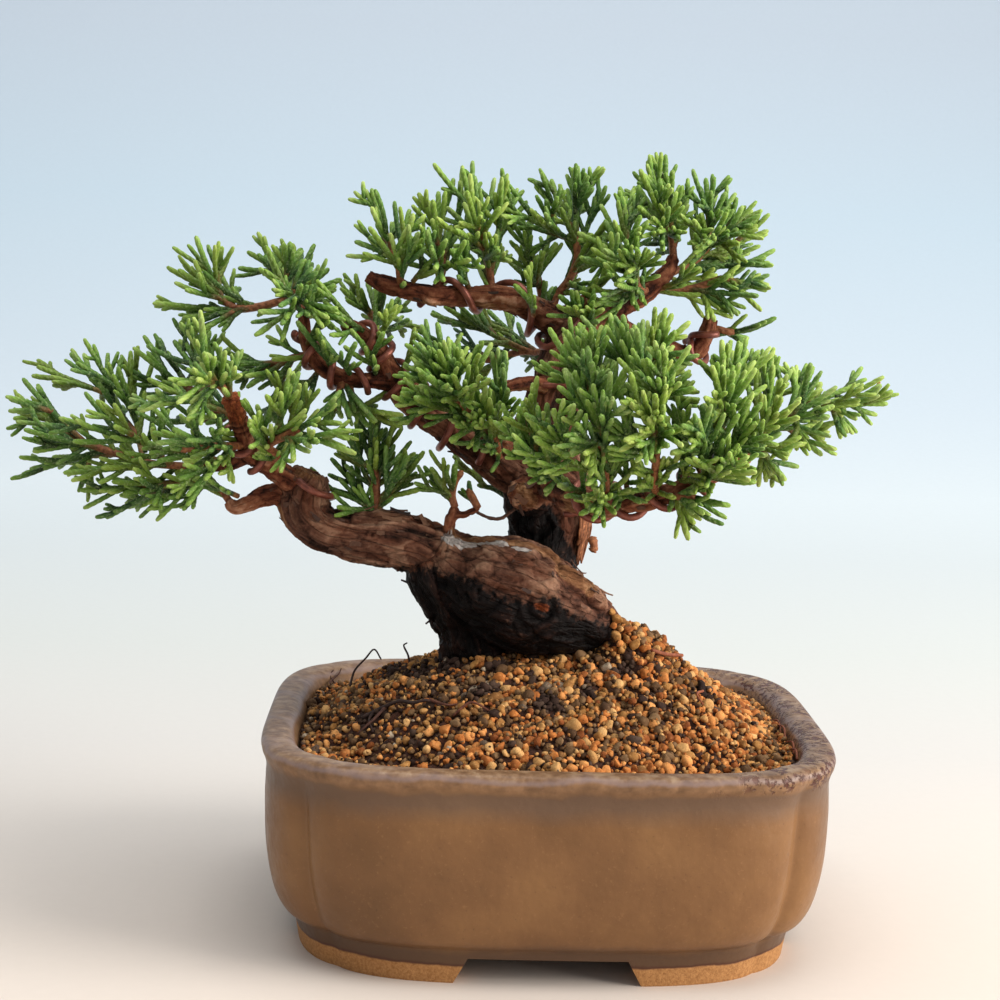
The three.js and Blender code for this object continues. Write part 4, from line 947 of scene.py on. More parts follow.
def floor_finish():
    """Plain pale paper, warm near the pot and a little bluer as it rises behind."""
    finish = Finish("studio", 0.9)
    tone = finish.ramp(
        finish.share("reach"),
        (0.0, linear(212, 201, 191)),
        (0.11, linear(203, 200, 196)),
        (0.22, linear(203, 206, 203)),
        (0.5, linear(213, 222, 226)),
        (0.62, linear(204, 216, 225)),
        (0.82, linear(193, 210, 222)),
        (0.98, linear(191, 203, 215)),
    )
    grain = finish.between(finish.noise(3, 4), 0.3, 0.7, 0.985, 1)
    finish.colour(finish.mix(1, tone, finish.ramp(grain, (0, 0.0), (1, 1.0)), "MULTIPLY"))
    return finish.material


# ------------------------------------------------------------------ the pot


def plan_points(row):
    """One ring of the pot's squared oval, with a groove pressed in at each corner."""
    height, half_width, half_depth, squareness, groove = row
    angle = 2 * np.pi * np.arange(POT_SIDES) / POT_SIDES
    quarter = np.abs((angle + np.pi / 2) % (np.pi / 2) - np.pi / 4) / GROOVE_ANGLE
    crease = np.exp(GROOVE_ROUNDING - np.sqrt(quarter**2 + GROOVE_ROUNDING**2))
    shrink = 1 - groove * crease
    power = 2 / squareness
    x = half_width * shrink * np.sign(np.cos(angle)) * np.abs(np.cos(angle)) ** power
    y = half_depth * shrink * np.sign(np.sin(angle)) * np.abs(np.sin(angle)) ** power
    return np.stack([x, y, np.full(POT_SIDES, float(height))], axis=1)


def lofted(name, rings, material):
    """A closed skin over rings, with a flat lid on the first and last."""
    points = np.vstack([*rings, rings[0].mean(axis=0), rings[-1].mean(axis=0)])
    return mesh_object(name, points, *ring_skin(len(rings), len(rings[0])), material)


def block(name, corners, depth, across, material):
    """A prism with a four-cornered face, run along one direction across the pot."""
    points = []
    for end in (-depth, depth):
        points += [(x, end, z) if across == "y" else (-end, x, z) for x, z in corners]
    order = [(0, 1, 2, 3), (7, 6, 5, 4), (0, 4, 5, 1), (1, 5, 6, 2), (2, 6, 7, 3), (3, 7, 4, 0)]
    return mesh_object(name, np.array(points, float), order, [], material, smooth=False)


def pot_cutters(material):
    """The recess under the floor, the gaps between the feet and the drain holes."""
    recess = [
        (-1, RECESS_HALF_WIDTH, RECESS_HALF_DEPTH, RECESS_SQUARENESS, 0),
        (FOOT_HEIGHT, RECESS_HALF_WIDTH - 1, RECESS_HALF_DEPTH - 1, RECESS_SQUARENESS, 0),
    ]
    cutters = [lofted("recess", [plan_points(row) for row in recess], material)]
    gap = [
        (-FOOT_GAP_BOTTOM, -0.5),
        (FOOT_GAP_BOTTOM, -0.5),
        (FOOT_GAP_TOP, FOOT_HEIGHT),
        (-FOOT_GAP_TOP, FOOT_HEIGHT),
    ]
    for across in "yx":
        cutters.append(block("gap_" + across, gap, FOOT_GAP_REACH, across, material))
    angle = 2 * np.pi * np.arange(DRAIN_SIDES) / DRAIN_SIDES
    for x in (-DRAIN_X, DRAIN_X):
        ring = [x + DRAIN_RADIUS * np.cos(angle), DRAIN_RADIUS * np.sin(angle)]
        rings = [np.column_stack([*ring, np.full(DRAIN_SIDES, z)]) for z in (0.0, DRAIN_TOP)]
        cutters.append(lofted("drain", rings, material))
    return cutters


def make_pot(settings):
    """The glazed pot: its walls and rim lofted over rings, its feet and drains cut out."""
    glaze = glaze_finish(settings)
    body = smooth_route(POT_OUTSIDE, 5)
    rows = [*body, *smooth_route(POT_LIP, 2), *smooth_route(POT_INSIDE, 3)]
    pot = lofted("stoneware_pot", [plan_points(row) for row in rows], glaze)
    for cutter in pot_cutters(glaze):
        bpy.context.view_layer.update()
        applied(pot, "BOOLEAN", object=cutter, operation="DIFFERENCE", solver="EXACT")
        bpy.data.objects.remove(cutter)
    bevel = {"width": POT_BEVEL / 1000, "segments": 2, "angle_limit": POT_BEVEL_ANGLE}
    applied(pot, "BEVEL", limit_method="ANGLE", **bevel)
    pot.data.shade_smooth()
    pot.data.set_sharp_from_angle(angle=POT_SHARP_ANGLE)
    finish_piece(pot, "glaze", "pot")


# ------------------------------------------------------------------ the soil

ABOVE_ALL = 200  # where the rays down to the soil start


def soil_surface():
    """A function that gives the height of the solid soil's top at a place."""
    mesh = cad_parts["soil"].data
    points = [Vector(p) for p in mesh_points(mesh)]
    top = BVHTree.FromPolygons(points, [tuple(face.vertices) for face in mesh.polygons])

    def height(x, y):
        hit = top.ray_cast(Vector((x, y, ABOVE_ALL)), Vector((0, 0, -1)))[0]
        return None if hit is None or hit.z < SOIL_LOWEST else hit.z

    return height


def make_soil_bed(height):
    """The fine soil that shows between the grains, dark as painted shade in the gaps."""
    finish = Finish("soil_bed", 0.95)
    crumb = finish.noise(1.2, 5, 0.7)
    # Painted shade: a dark brown bed for the gaps between the grains.
    finish.colour(finish.ramp(crumb, (0.3, linear(28, 12, 7)), (0.7, linear(82, 44, 24))))
    finish.relief((crumb, 0.8))
    rings = [plan_points(BED_FOOT), plan_points(BED_WAIST)]
    last = BED_AT_TRUNK
    for share in np.linspace(1, BED_MIDDLE, BED_RINGS):
        ring = plan_points(BED_EDGE) * share
        for p in ring:
            found = height(p[0], p[1])
            last = last if found is None else found
            p[2] = last - BED_SUNK
        ring[:, 2] = (np.roll(ring[:, 2], 1) + ring[:, 2] + np.roll(ring[:, 2], -1)) / 3
        rings.append(ring)
    finish_piece(lofted("soil_bed", rings, finish.material), "soil", "soil")


# A grain's form: how far it reaches along its three axes, how many sides are knocked flat,
# how near its middle the flats start, how flat they are, and the width that comes of it.
GRAIN_REACH = ((0.8, 1.3), (0.8, 1.15), (0.65, 1))
GRAIN_FLATS = 8
FLAT_FROM = (0.4, 0.78)
FLATNESS = 0.95
GRAIN_WIDTH = 1.9
# The field that the grains are drawn in, and how many places are tried.
GRAINS_HALF_WIDTH = 52
GRAINS_HALF_DEPTH = 46
GRAIN_TRIES = 90000


def ball(rounds):
    """Points and triangles of a small round form, to be knocked into a grain."""
    bpy.ops.mesh.primitive_ico_sphere_add(subdivisions=rounds, radius=1)
    made = bpy.context.object
    points = np.array([v.co for v in made.data.vertices])
    triangles = np.array([p.vertices for p in made.data.polygons])
    bpy.data.objects.remove(made)
    return points, triangles


def nearness_to_wall(x, y):
    """Rises to 1 at the pot's inner wall, and above 1 outside it."""
    across = (abs(x) / WALL_HALF_WIDTH) ** WALL_SQUARENESS
    return across + (abs(y) / WALL_HALF_DEPTH) ** WALL_SQUARENESS


def grain(shape, size, rng):
    """A grain of so much width: the round form with its sides knocked flat."""
    points = shape * np.array([rng.uniform(*reach) for reach in GRAIN_REACH])
    for _ in range(GRAIN_FLATS):
        way = unit([rng.gauss(0, 1), rng.gauss(0, 1), rng.gauss(0, 1)])
        beyond = np.maximum(0, points @ way - rng.uniform(*FLAT_FROM))
        points = points - FLATNESS * beyond[:, None] * way
    turn = Matrix.Rotation(rng.uniform(0, 6.3), 3, Vector((rng.random(), rng.random(), 0.4)))
    return points @ np.array(turn).T * size / GRAIN_WIDTH


def grain_places(spacing, rng):
    """Places all over the soil, none nearer to another than the spacing."""
    taken = {}
    places = []
    for _ in range(GRAIN_TRIES):
        x = rng.uniform(-GRAINS_HALF_WIDTH, GRAINS_HALF_WIDTH)
        y = rng.uniform(-GRAINS_HALF_DEPTH, GRAINS_HALF_DEPTH)
        if nearness_to_wall(x, y) > 1:
            continue
        column, row = int(x // spacing), int(y // spacing)
        near = [
            place
            for i in (-1, 0, 1)
            for j in (-1, 0, 1)
            for place in taken.get((column + i, row + j), ())
        ]
        if any((x - a) ** 2 + (y - b) ** 2 < spacing**2 for a, b in near):
            continue
        taken.setdefault((column, row), []).append((x, y))
        places.append((x, y))
    return places


# Each kind of grain: its share of the heap, and its tones from dark to pale.
GRAINS = {
    "grains_amber": (0.37, [linear(118, 62, 27), linear(186, 113, 54), linear(222, 157, 92)]),
    "grains_ochre": (0.3, [linear(110, 72, 36), linear(168, 118, 62), linear(210, 164, 106)]),
    "grains_olive": (0.22, [linear(66, 44, 28), linear(104, 76, 48), linear(134, 104, 72)]),
    "grains_dark": (0.08, [linear(34, 19, 14), linear(58, 39, 30), linear(82, 64, 52)]),
    "grains_grey": (0.03, [linear(88, 72, 58), linear(122, 104, 86), linear(190, 172, 148)]),
}
# The grains are smaller left of here, and close to the wall, by these shares.
FINE_LEFT_OF = -22
FINE_SHARE = 0.82
FINE_NEAR_WALL = 0.85
FINE_WALL_SHARE = 0.8
# Dark clumps of old root soil: how strong they all are, then x, y and reach of each.
CLUMP_STRENGTH = 1.25
CLUMPS = [
    (-37, -21, 5), (-14, -22, 3.6), (-1, -27, 3.4), (15, -14, 3.2), (-33, 5, 4.5),
    (-20, -8, 5), (-10, -11, 3.5), (33, -10, 2.8), (8, -22, 2.4), (-27, -4, 4),
]

# The two layers of grains: how finely the form is made, the spacing and the sizes as shares
# of the settings, and how deep a grain sinks: a share of its size, and so much more.
LAYERS = [
    (1, 0.54, (0.42, 0.52, 0.62), 0.3, (0.1, 0.7)),
    (2, 0.95, (0.7, 0.84, 0.95, 1.0, 1.1, 1.3), 0.28, (0.0, 0.8)),
]

# The grains that lie against the pot's wall stand higher by so much. It starts at a share
# of the way to the wall, and grows over the rest.
WALL_LIFT = 0.9
WALL_LIFT_FROM = 0.8
WALL_LIFT_OVER = 0.2
# Grains that lie heaped against the right end of the tree's base, and their sizes as shares
# of the setting.
PILED_SIZES = (0.75, 1.1)
PILED_GRAINS = [
    (13.4, -9.4, 69.4), (14.6, -9, 67.6), (13.8, -10, 66.2), (15.4, -8.6, 65.6),
    (14.4, -10.6, 64.4), (16.6, -9, 63.6), (15.2, -11, 62.8), (17.4, -6.6, 65),
    (18.4, -9.6, 62.4), (16, -4, 66.4),
]
# Roots on the soil: how red each is, its radius at both ends, and its way, as x, y and the
# height above the soil.
SOIL_ROOTS = [
    (0.0, 0.45, 0.3, (-39, -20, -0.3), (-34.2, -20.6, 0.9), (-31, -22.5, 1.1), (-28.5, -23.9, 0.9),
     (-25.5, -24.6, 0.9), (-22.4, -24.3, -0.2)),
    (0.1, 0.4, 0.2, (-34.2, -20.6, 0.7), (-36.5, -23, 0.8), (-39.5, -24.5, 0.1)),
    (0.0, 0.35, 0.2, (-36, -19, 0.2), (-37.4, -22, 1.2), (-36.4, -25.4, 0.1)),
    (0.2, 0.35, 0.2, (-25, -24.4, 0.7), (-21.5, -26.2, 0.7), (-18.8, -26, -0.2)),
    (0.35, 0.3, 0.2, (-20, -29, -0.1), (-16.5, -28.4, 0.9), (-12.6, -29.6, 0)),
    (0.0, 0.28, 0.2, (-42.8, 7, -0.5), (-42.4, 9, 1.4), (-41.7, 10, 3.1), (-39.6, 12, 4.8),
     (-37.8, 13, 4.4), (-36.2, 12, 1.6)),
    (0.0, 0.3, 0.16, (-29.6, 5, -0.5), (-30.1, 6, 1.6), (-31.1, 8, 3.6), (-30.4, 9, 4.6)),
    (0.1, 0.28, 0.16, (-44.6, 20, -0.3), (-45.4, 24, 1.1), (-43.4, 28, 0.2)),
    (0.1, 0.28, 0.16, (-49.4, 30, -0.2), (-48.4, 34.3, 0.8), (-47, 37.3, 1.6), (-46.4, 39.4, 2.6)),
    (0.1, 0.22, 0.14, (-46.6, 33, 0), (-48.8, 36.6, 1.4), (-48.2, 38.6, 2.4)),
    (0.5, 0.28, 0.16, (51.4, -27, 0.3), (51.8, -22.5, 1.2), (51.2, -18, 0.4)),
    (0.55, 0.24, 0.14, (51.6, -22, 0.2), (52, -17.5, 1.5), (51.4, -13, 0.6)),
    (0.5, 0.26, 0.16, (51.8, -10, 0.3), (52.2, -5, 1.6), (51.6, 0, 0.4)),
    (0.5, 0.24, 0.14, (51.8, -4, 0.3), (52.2, 2, 1.3), (51.4, 8, 0.3)),
    (0.6, 0.5, 0.4, (22.4, -8.4, -0.2), (26, -6.6, 0.8), (29.6, -3.4, 1.3)),
    (0.7, 0.3, 0.2, (33.4, -11, 0), (31.6, -15, 1), (32.4, -19, 0.1)),
]


def make_grains(height, settings):
    """Baked-clay and lava grains heaped on the bed, one mesh for each colour."""
    rng = random.Random(5)
    skins = {name: Skin() for name in GRAINS}
    for rounds, spacing, sizes, share_sunk, sunk in LAYERS:
        shape, triangles = ball(rounds)
        for x, y in grain_places(settings.spacing * spacing, rng):
            top = height(x, y)
            if top is None:
                continue
            chosen = kind_of_grain(x, y, rng)
            wall = nearness_to_wall(x, y)
            fine = min(
                FINE_SHARE if x < FINE_LEFT_OF else 1.0,
                FINE_WALL_SHARE if wall > FINE_NEAR_WALL else 1,
            )
            size = settings.grain_size * rng.choice(sizes) * fine
            lift = WALL_LIFT * max(0, wall - WALL_LIFT_FROM) / WALL_LIFT_OVER
            sink = share_sunk * size + rng.uniform(*sunk) - lift
            points = grain(shape, size, rng) + np.array([x, y, top - sink])
            skins[chosen].add(points, [], triangles, tint=rng.random())
    shape, triangles = ball(2)
    for place in PILED_GRAINS:
        size = settings.grain_size * rng.uniform(*PILED_SIZES)
        points = grain(shape, size, rng) + np.array(place)
        chosen = rng.choice(("grains_amber", "grains_ochre"))
        skins[chosen].add(points, [], triangles, tint=rng.random())
    for name, (_, tones) in GRAINS.items():
        made = skins[name].build(name, grain_finish(name, tones))
        finish_piece(made, "soil")


def kind_of_grain(x, y, rng):
    """Which grain lies at a place: by its share, more dark ones in a clump of old roots."""
    clump = max(CLUMP_STRENGTH - math.hypot(x - a, y - b) / reach for a, b, reach in CLUMPS)
    if rng.random() < clump:
        return "grains_dark"
    draw = rng.random() + 0.2 * noise.noise(Vector((x * 0.06, y * 0.06, 3))) - 0.0025 * (x - 10)
    for name, (share, _) in GRAINS.items():
        if draw < share:
            return name
        draw -= share
    return "grains_olive"


def make_soil_roots(height):
    """Fine roots that lie on the soil or stand up out of it."""
    finish = Finish("soil_roots", 0.8)
    tone = finish.noise(0.9, 4, 0.65)
    black = finish.ramp(tone, (0.3, linear(22, 11, 9)), (0.7, linear(64, 38, 28)))
    red = finish.ramp(tone, (0.3, linear(120, 52, 30)), (0.7, linear(190, 110, 70)))
    finish.colour(finish.mix(finish.share("tint"), black, red))
    finish.relief((tone, 0.15))
    skin = Skin()
    for tint, radius, end_radius, *rows in SOIL_ROOTS:
        points = [(x, y, (height(x, y) or SOIL_AT_RIM) + lift) for x, y, lift in rows]
        route = smooth_route(points, 5)
        skin.add(*tube(route, np.linspace(radius, end_radius, len(route)), 6), tint=tint)
    finish_piece(skin.build("soil_roots", finish.material), "bark")


# ------------------------------------------------------------------ the tree

BARK_SIDES = 24
BARK_STEPS = 4
BARK_SUNK = 0.1
DENSE_STEPS = 6
LIMB_BREAK = 40  # how far along the grain jumps from one limb to the next
GRAIN_STRETCH = 0.14
THICK_LIMB = 7
POINTS_AT_ONCE = 4000

# The limbs that end in a saw cut.
CUT_LIMBS = (LEFT_LIMB, LEFT_RISER, TOP_BRANCH, BACK_BRANCH, SPURS[1])
# Folds, lumps and hollows: a place, or a line from one place to another, then how far each
# reaches and how high it stands.
FOLDS = [
    ((-5.3, -4.2, 93.9), 3.2, 1.1),
    ((-7.6, -3.4, 91.6), 2, 1.4),
    ((-2.6, -3.6, 91.4), 2.2, 1.3),
    ((-8.4, -3, 95.6), 1.8, 1.1),
    ((-4.4, -4.4, 96.6), 2, 1),
    ((-27.1, -4.6, 133.5), 3, 1.4),
    ((-15.9, -1.5, 134), 2.6, 1.2),
    ((3.6, 1, 125.3), 2.6, 0.9),
    ((-36.5, -5, 89.4), (-30.4, -5, 89), 3.2, 1.9),
    ((-42, -5, 88.6), (-40.5, -5, 88.8), 2.4, 1.2),
    ((-27.5, -4, 88), (-26, -4, 87.2), 2.4, 1.3),
    ((-47.5, -10, 84), 3.2, 0.9),
    ((9, 1.6, 82), 1.6, 1.8),
    ((-2.3, -16, 71.1), 2.2, -1.3),
    ((-10.4, -3.4, 107), 1.9, -1),
    # The long cut on top of the base, with a lip on each side.
    ((-22, -6, 84), (-2, -9.6, 80.6), 1.7, -0.9),
    ((-24, -7.6, 82.8), (-3, -11.4, 78.8), 2.2, 0.9),
    ((-14, -5, 86), (3, -5.6, 82), 2, 0.7),
    # Folds that run down the base to its right end.
    ((-8, -13.4, 77.4), (9, -13.2, 70.4), 2.2, 0.8),
    ((-1, -14.4, 75), (6, -14.6, 70.4), 1.8, -0.7),
    ((3.6, -10, 78.6), (12, -10, 70.8), 2.6, 1.1),
    ((1, -12, 77), (9, -12.6, 71.6), 1.7, -0.8),
    ((7.2, -12, 74), 2.4, 1.1),
    ((10.4, -10.6, 70.6), 2.4, 1),
    ((-28, -8, 76), (-19, -10, 68), 3.4, 0.8),
    ((-20, -11, 74), (-13, -13, 64), 3, -0.7),
]
# Ringed scars: place, reach, height and the number of rings.
RINGED = [
    ((-2.3, -16, 71.1), 6.8, 0.5, 2.5), ((-22.1, -8.7, 81.2), 1.9, 0.6, 1.1),
    ((-12.4, -11.5, 80.8), 2.2, 0.6, 1.3), ((-15.4, -14.4, 74.1), 2, 0.5, 1.1),
    ((-6.8, -15.6, 75.2), 2, 0.5, 1.1), ((-4.4, -10.4, 81.2), 1.8, 0.45, 1.1),
    ((-25.6, -7, 83.4), 1.7, 0.5, 1.1), ((-38, -9.6, 84.6), 1.9, 0.5, 1.1),
    ((-10.4, -2.6, 106.5), 3.2, 0.5, 1.0), ((2.6, 1.4, 113.6), 2, 0.5, 1.1),
]
# The stub with rings all along it: its middle, reach, and the rings' height and pitch.
RINGED_STUB = (-66.2, -24.5, 111.5)
STUB_REACH = 7
STUB_RING_HEIGHT = 0.22
STUB_RING_PITCH = 4.2
# The edge of the black bark, wet and in painted shade: its height across the base, and how far
# right on the trunk.
WET_SHADE_EDGE = [
    (-32, 78), (-25, 77.5), (-19.5, 77), (-16, 76.6), (-12.5, 74), (-6, 72.6), (1.5, 73.4),
    (3.4, 70.5), (7, 69), (10, 67.8), (13, 66.5),
]
WET_SHADE_TRUNK = [(76, 8), (79, 6.5), (84, 3.6), (90, 0.5), (94, -3)]
WET_SHADE_TRUNK_LOW = 75
WET_SHADE_TOP = 94
# Patches on the bark: the two ends of each one's line, and how far it reaches from that.
MARKS = {
    "pale": [
        ((-21.4, -7.6, 84), (-17.4, -8, 83.6), 2.8),
        ((-14.6, -8, 83.4), (-10.4, -8.8, 82.8), 1.8),
        ((-8, -9.2, 82.4), (-5, -9.6, 81.6), 1.1),
        ((-4.6, 3.2, 112), (-3.6, 3, 106), 1.9),
    ],
    "dead": [
        ((-21, -5, 85), (2, -8.4, 81.4), 2.6),
        ((2, -10.6, 78.6), (8, -10.6, 74), 2.2),
        ((4.6, 3, 122), (6, 3.4, 115), 3),
        ((-6, -3.6, 94), (-4, -3.6, 91), 3),
        ((9, 4, 90), (8, 3, 79), 2.6),
        ((3, -13, 93.2), (12, -21, 92.8), 3),
        ((-53, -9, 97.2), (-50, -9, 97.6), 2.6),
        ((-57.2, -7.6, 88.6), (-57, -7.6, 86.4), 2.6),
        ((-28, -3.6, 133), (-26, -3.6, 132.8), 2.2),
        ((-17, -1, 133), (-14, -0.6, 132.6), 2),
        ((-15.8, -2, 114.2), (-2, 2, 116.4), 2.4),
        ((-41, -4, 139), (-39.6, -4, 138.4), 2),
        ((34.9, 12, 132.4), (34.9, 12, 131.6), 2),
    ],
    "glow": [
        ((-2.9, -15.6, 71.3), (-1.5, -15.6, 70.8), 1.7),
        ((-66, -24.5, 110.5), (-66.8, -26, 114.4), 3.6),
        ((-1.6, 0.4, 103.4), (-1.4, 0.4, 101.4), 1.4),
    ],
}
# Plates of bark that have come up: how many, on which wood, and the ranges of their length,
# half width and lift.
FLAKES = 230
FLAKE_LEAST_RADIUS = 2.2
FLAKE_LOWEST = 62
FLAKE_LENGTH = (0.9, 2.6)
FLAKE_HALF_WIDTH = (0.25, 0.8)
FLAKE_LIFT = (0.1, 0.6)
FLAKE_THICKNESS = 0.18
FLAKE_SUNK = 0.15
# Where the larger plates of bark stand up, and how much larger they are.
PLATE_SIZE = 1.8
PLATES = [
    (-34, -5, 91.4), (-29, -5, 90.4), (-39.6, -6, 90.2), (-31.4, -8.4, 88.6), (-46.8, -9, 88),
    (-25.8, -6, 87), (-37, -10, 85), (8.6, -6, 79), (11, -8, 74.6), (-57.6, -8, 92.6),
    (-5, -5.5, 96.4), (-7.6, -5, 93), (-3, -5.5, 92.4), (-5.6, -5.5, 90.6), (-8.6, -4, 95),
]
# Loose fibres down the right of the trunk: how many, their radius, how far they wander, and
# the ranges of x and z where they start and end.
TRUNK_FIBRES = 46
FIBRE_RADIUS = (0.16, 0.34)
FIBRE_WANDER = 0.25
FIBRE_TOP = ((6.8, 10.2), (89, 95))
FIBRE_LOW = ((6.2, 9.6), (76.5, 83))
# The trunk there: its middle in x and y, and how far out its bark is at some heights.
TRUNK_MIDDLE = (0.3, 9.4)
TRUNK_REACH = [(76, 7.4), (79, 8.0), (85, 9.7), (91, 9.9), (95, 9.2)]
# Slim wood: how orange it is, its radius at both ends, and its way.
FINE_WOOD = [
    (0.12, 0.45, 0.32, (-6.7, 1, 90.1), (-8.5, 0, 89), (-10.2, -1, 87.8), (-12.2, -2, 87.6),
     (-14.8, -3, 88.5), (-16.8, -4, 89.7), (-18.1, -4, 88.6)),
    (0.0, 0.4, 0.2, (-28.4, -1, 72), (-29.9, -2, 73), (-31.8, -3, 73.9)),
    (0.0, 0.35, 0.18, (-23.2, -1, 63.6), (-24.1, -1, 64.7), (-25.4, -2, 64.9), (-26.3, -2, 64.2)),
    (0.05, 0.5, 0.4, (-37.4, -5, 79.2), (-34.7, -5.4, 78.1), (-33, -5, 77), (-32.4, -5, 76.2)),
    (0.85, 1.0, 0.9, (9.4, 1.6, 83.4), (9.9, 1.4, 81.6), (9.5, 1.2, 80.6)),
    (1.0, 0.85, 0.75, (24.6, -41, 109.8), (26, -42, 111.5), (29.1, -44, 115.1)),
    (1.0, 0.95, 0.85, (29.6, -37, 102.4), (31.4, -38, 103.4), (36.3, -41, 106.2)),
    (1.0, 0.6, 0.5, (31, -29.5, 119.6), (32.3, -30, 120.4), (35.3, -31, 122)),
    (0.8, 0.5, 0.25, (61.6, -18, 116.6), (64.8, -18, 118.4), (66.3, -18, 120.5)),
    (0.75, 0.45, 0.25, (64.4, -18, 118.2), (66, -18, 118.2), (67.4, -18, 117.4)),
]


def wood_stations():
    """Dense stations of every limb: place, radius, direction, side, across and run."""
    parts = []
    run = 0.0
    for rows in LIMBS:
        route = smooth_route(rows, DENSE_STEPS)
        points, radii = route[:, :3], route[:, 3]
        side, across = carried_frames(points)
        steps = np.linalg.norm(np.diff(points, axis=0), axis=1)
        along = run + np.concatenate([[0], np.cumsum(steps)])
        parts.append(np.column_stack([points, radii, directions(points), side, across, along]))
        run = along[-1] + LIMB_BREAK
    return np.vstack(parts)


def grain_coordinates(points, stations):
    """For each point of the bark: place round and along its limb, and the limb's radius."""
    nearest = np.empty(len(points), int)
    for start in range(0, len(points), POINTS_AT_ONCE):
        chunk = points[start : start + POINTS_AT_ONCE]
        gap = np.linalg.norm(chunk[:, None, :] - stations[None, :, :3], axis=2)
        best = np.argmin(gap / stations[None, :, 3] ** 0.9, axis=1)
        nearest[start : start + POINTS_AT_ONCE] = best
    row = stations[nearest]
    way = points - row[:, :3]
    along = row[:, 13] + np.einsum("ij,ij->i", way, row[:, 4:7])
    right = np.einsum("ij,ij->i", way, row[:, 7:10])
    up = np.einsum("ij,ij->i", way, row[:, 10:13])
    return np.stack([right, up, along], axis=1), row[:, 3]


def bark_relief(grain, radius, points):
    """How far the bark stands out: folds along the limb, plates, knobs, rings and hollows.

    Each noise is drawn out along the limb, and thin limbs have lower and narrower folds.
    """
    outcome = np.empty(len(grain))
    for i, ((right, up, along), thick) in enumerate(zip(grain, radius)):
        big = min(1.0, thick / THICK_LIMB)
        pitch = 1.5 - 0.5 * big
        sway = noise.noise(Vector((right * 0.1, up * 0.1, along * 0.12))) * 2.5
        a, b, c = right * pitch + sway, up * pitch - sway, along
        broad = noise.noise(Vector((a * 0.15, b * 0.15, c * 0.07)))
        fold = 0.45 - 2.2 * abs(noise.noise(Vector((a * 0.24, b * 0.24 + 5, c * 0.055))))
        strand = 0.4 - 2 * abs(noise.noise(Vector((a * 0.6, b * 0.6 + 5, c * 0.13))))
        reach, nearest = noise.voronoi(Vector((a * 0.3 + 3, b * 0.3, c * 0.17)))
        crack = min(1.0, (reach[1] - reach[0]) / 0.14)
        plate = noise.noise(nearest[0] * 7.3)
        fine = noise.noise(Vector((a * 1.5, b * 1.5, c * 0.7 + 7)))
        outcome[i] = big * (0.9 * broad + 0.75 * fold)
        outcome[i] += (0.45 + 0.55 * big) * (0.3 * strand + 0.6 * plate - 0.3 * (1 - crack))
        outcome[i] += 0.18 * fine
    for *line, reach, height in FOLDS:
        outcome += height * near_line(points, line[0], line[-1], reach) ** 2
    for place, reach, height, rings in RINGED:
        away = np.linalg.norm(points - np.array(place), axis=1) / reach
        outcome -= height * np.cos(2 * np.pi * rings * away) * np.clip(1 - away, 0, 1)
    stub = np.linalg.norm(points - np.array(RINGED_STUB), axis=1) < STUB_REACH
    outcome += stub * STUB_RING_HEIGHT * np.sin(grain[:, 2] * STUB_RING_PITCH)
    return outcome


def near_line(points, start, end, reach):
    """1 on a line between two places, falling to 0 at its reach."""
    start, end = np.array(start, float), np.array(end, float)
    way = end - start
    share = np.clip((points - start) @ way / max(way @ way, 1e-9), 0, 1)
    away = np.linalg.norm(points - start - share[:, None] * way, axis=1)
    return np.clip(1 - away / reach, 0, 1)


def bark_shares(points, radius, relief):
    """Where the bark is wet and in painted shade, bare wood, pasted, orange or young: soft shares,
    0 to 1.
    """
    x, y, z = points.T
    # Painted shade with the wet: black below the edge across the base, and on the trunk's lower
    # left.
    edge = np.interp(x, *zip(*WET_SHADE_EDGE))
    wet_and_shade = np.clip(0.5 + (edge - z) / 4, 0, 1)
    behind = np.interp(z, *zip(*WET_SHADE_TRUNK))
    trunk = (y > -1) & (z > WET_SHADE_TRUNK_LOW) & (z < WET_SHADE_TOP)
    wet_and_shade = np.where(trunk, np.maximum(wet_and_shade, np.clip(0.5 + (behind - x) / 2.5, 0, 1)), wet_and_shade)
    wet_and_shade *= np.clip((WET_SHADE_TOP - z) / 4, 0, 1)
    shares = {
        "wet_and_shade": wet_and_shade,
        "twig": np.clip((4.6 - radius) / 2, 0, 1),
        # Crests lighter, valleys darker: the bark's tone with painted light and shade.
        "crest_tone_and_shade": np.clip(0.5 + relief / (0.8 + radius * 0.12), 0, 1),
    }
    for key, marks in MARKS.items():
        share = np.zeros(len(points))
        for start, end, reach in marks:
            share = np.maximum(share, np.clip(1.6 * near_line(points, start, end, reach), 0, 1))
        shares[key] = share
    return shares


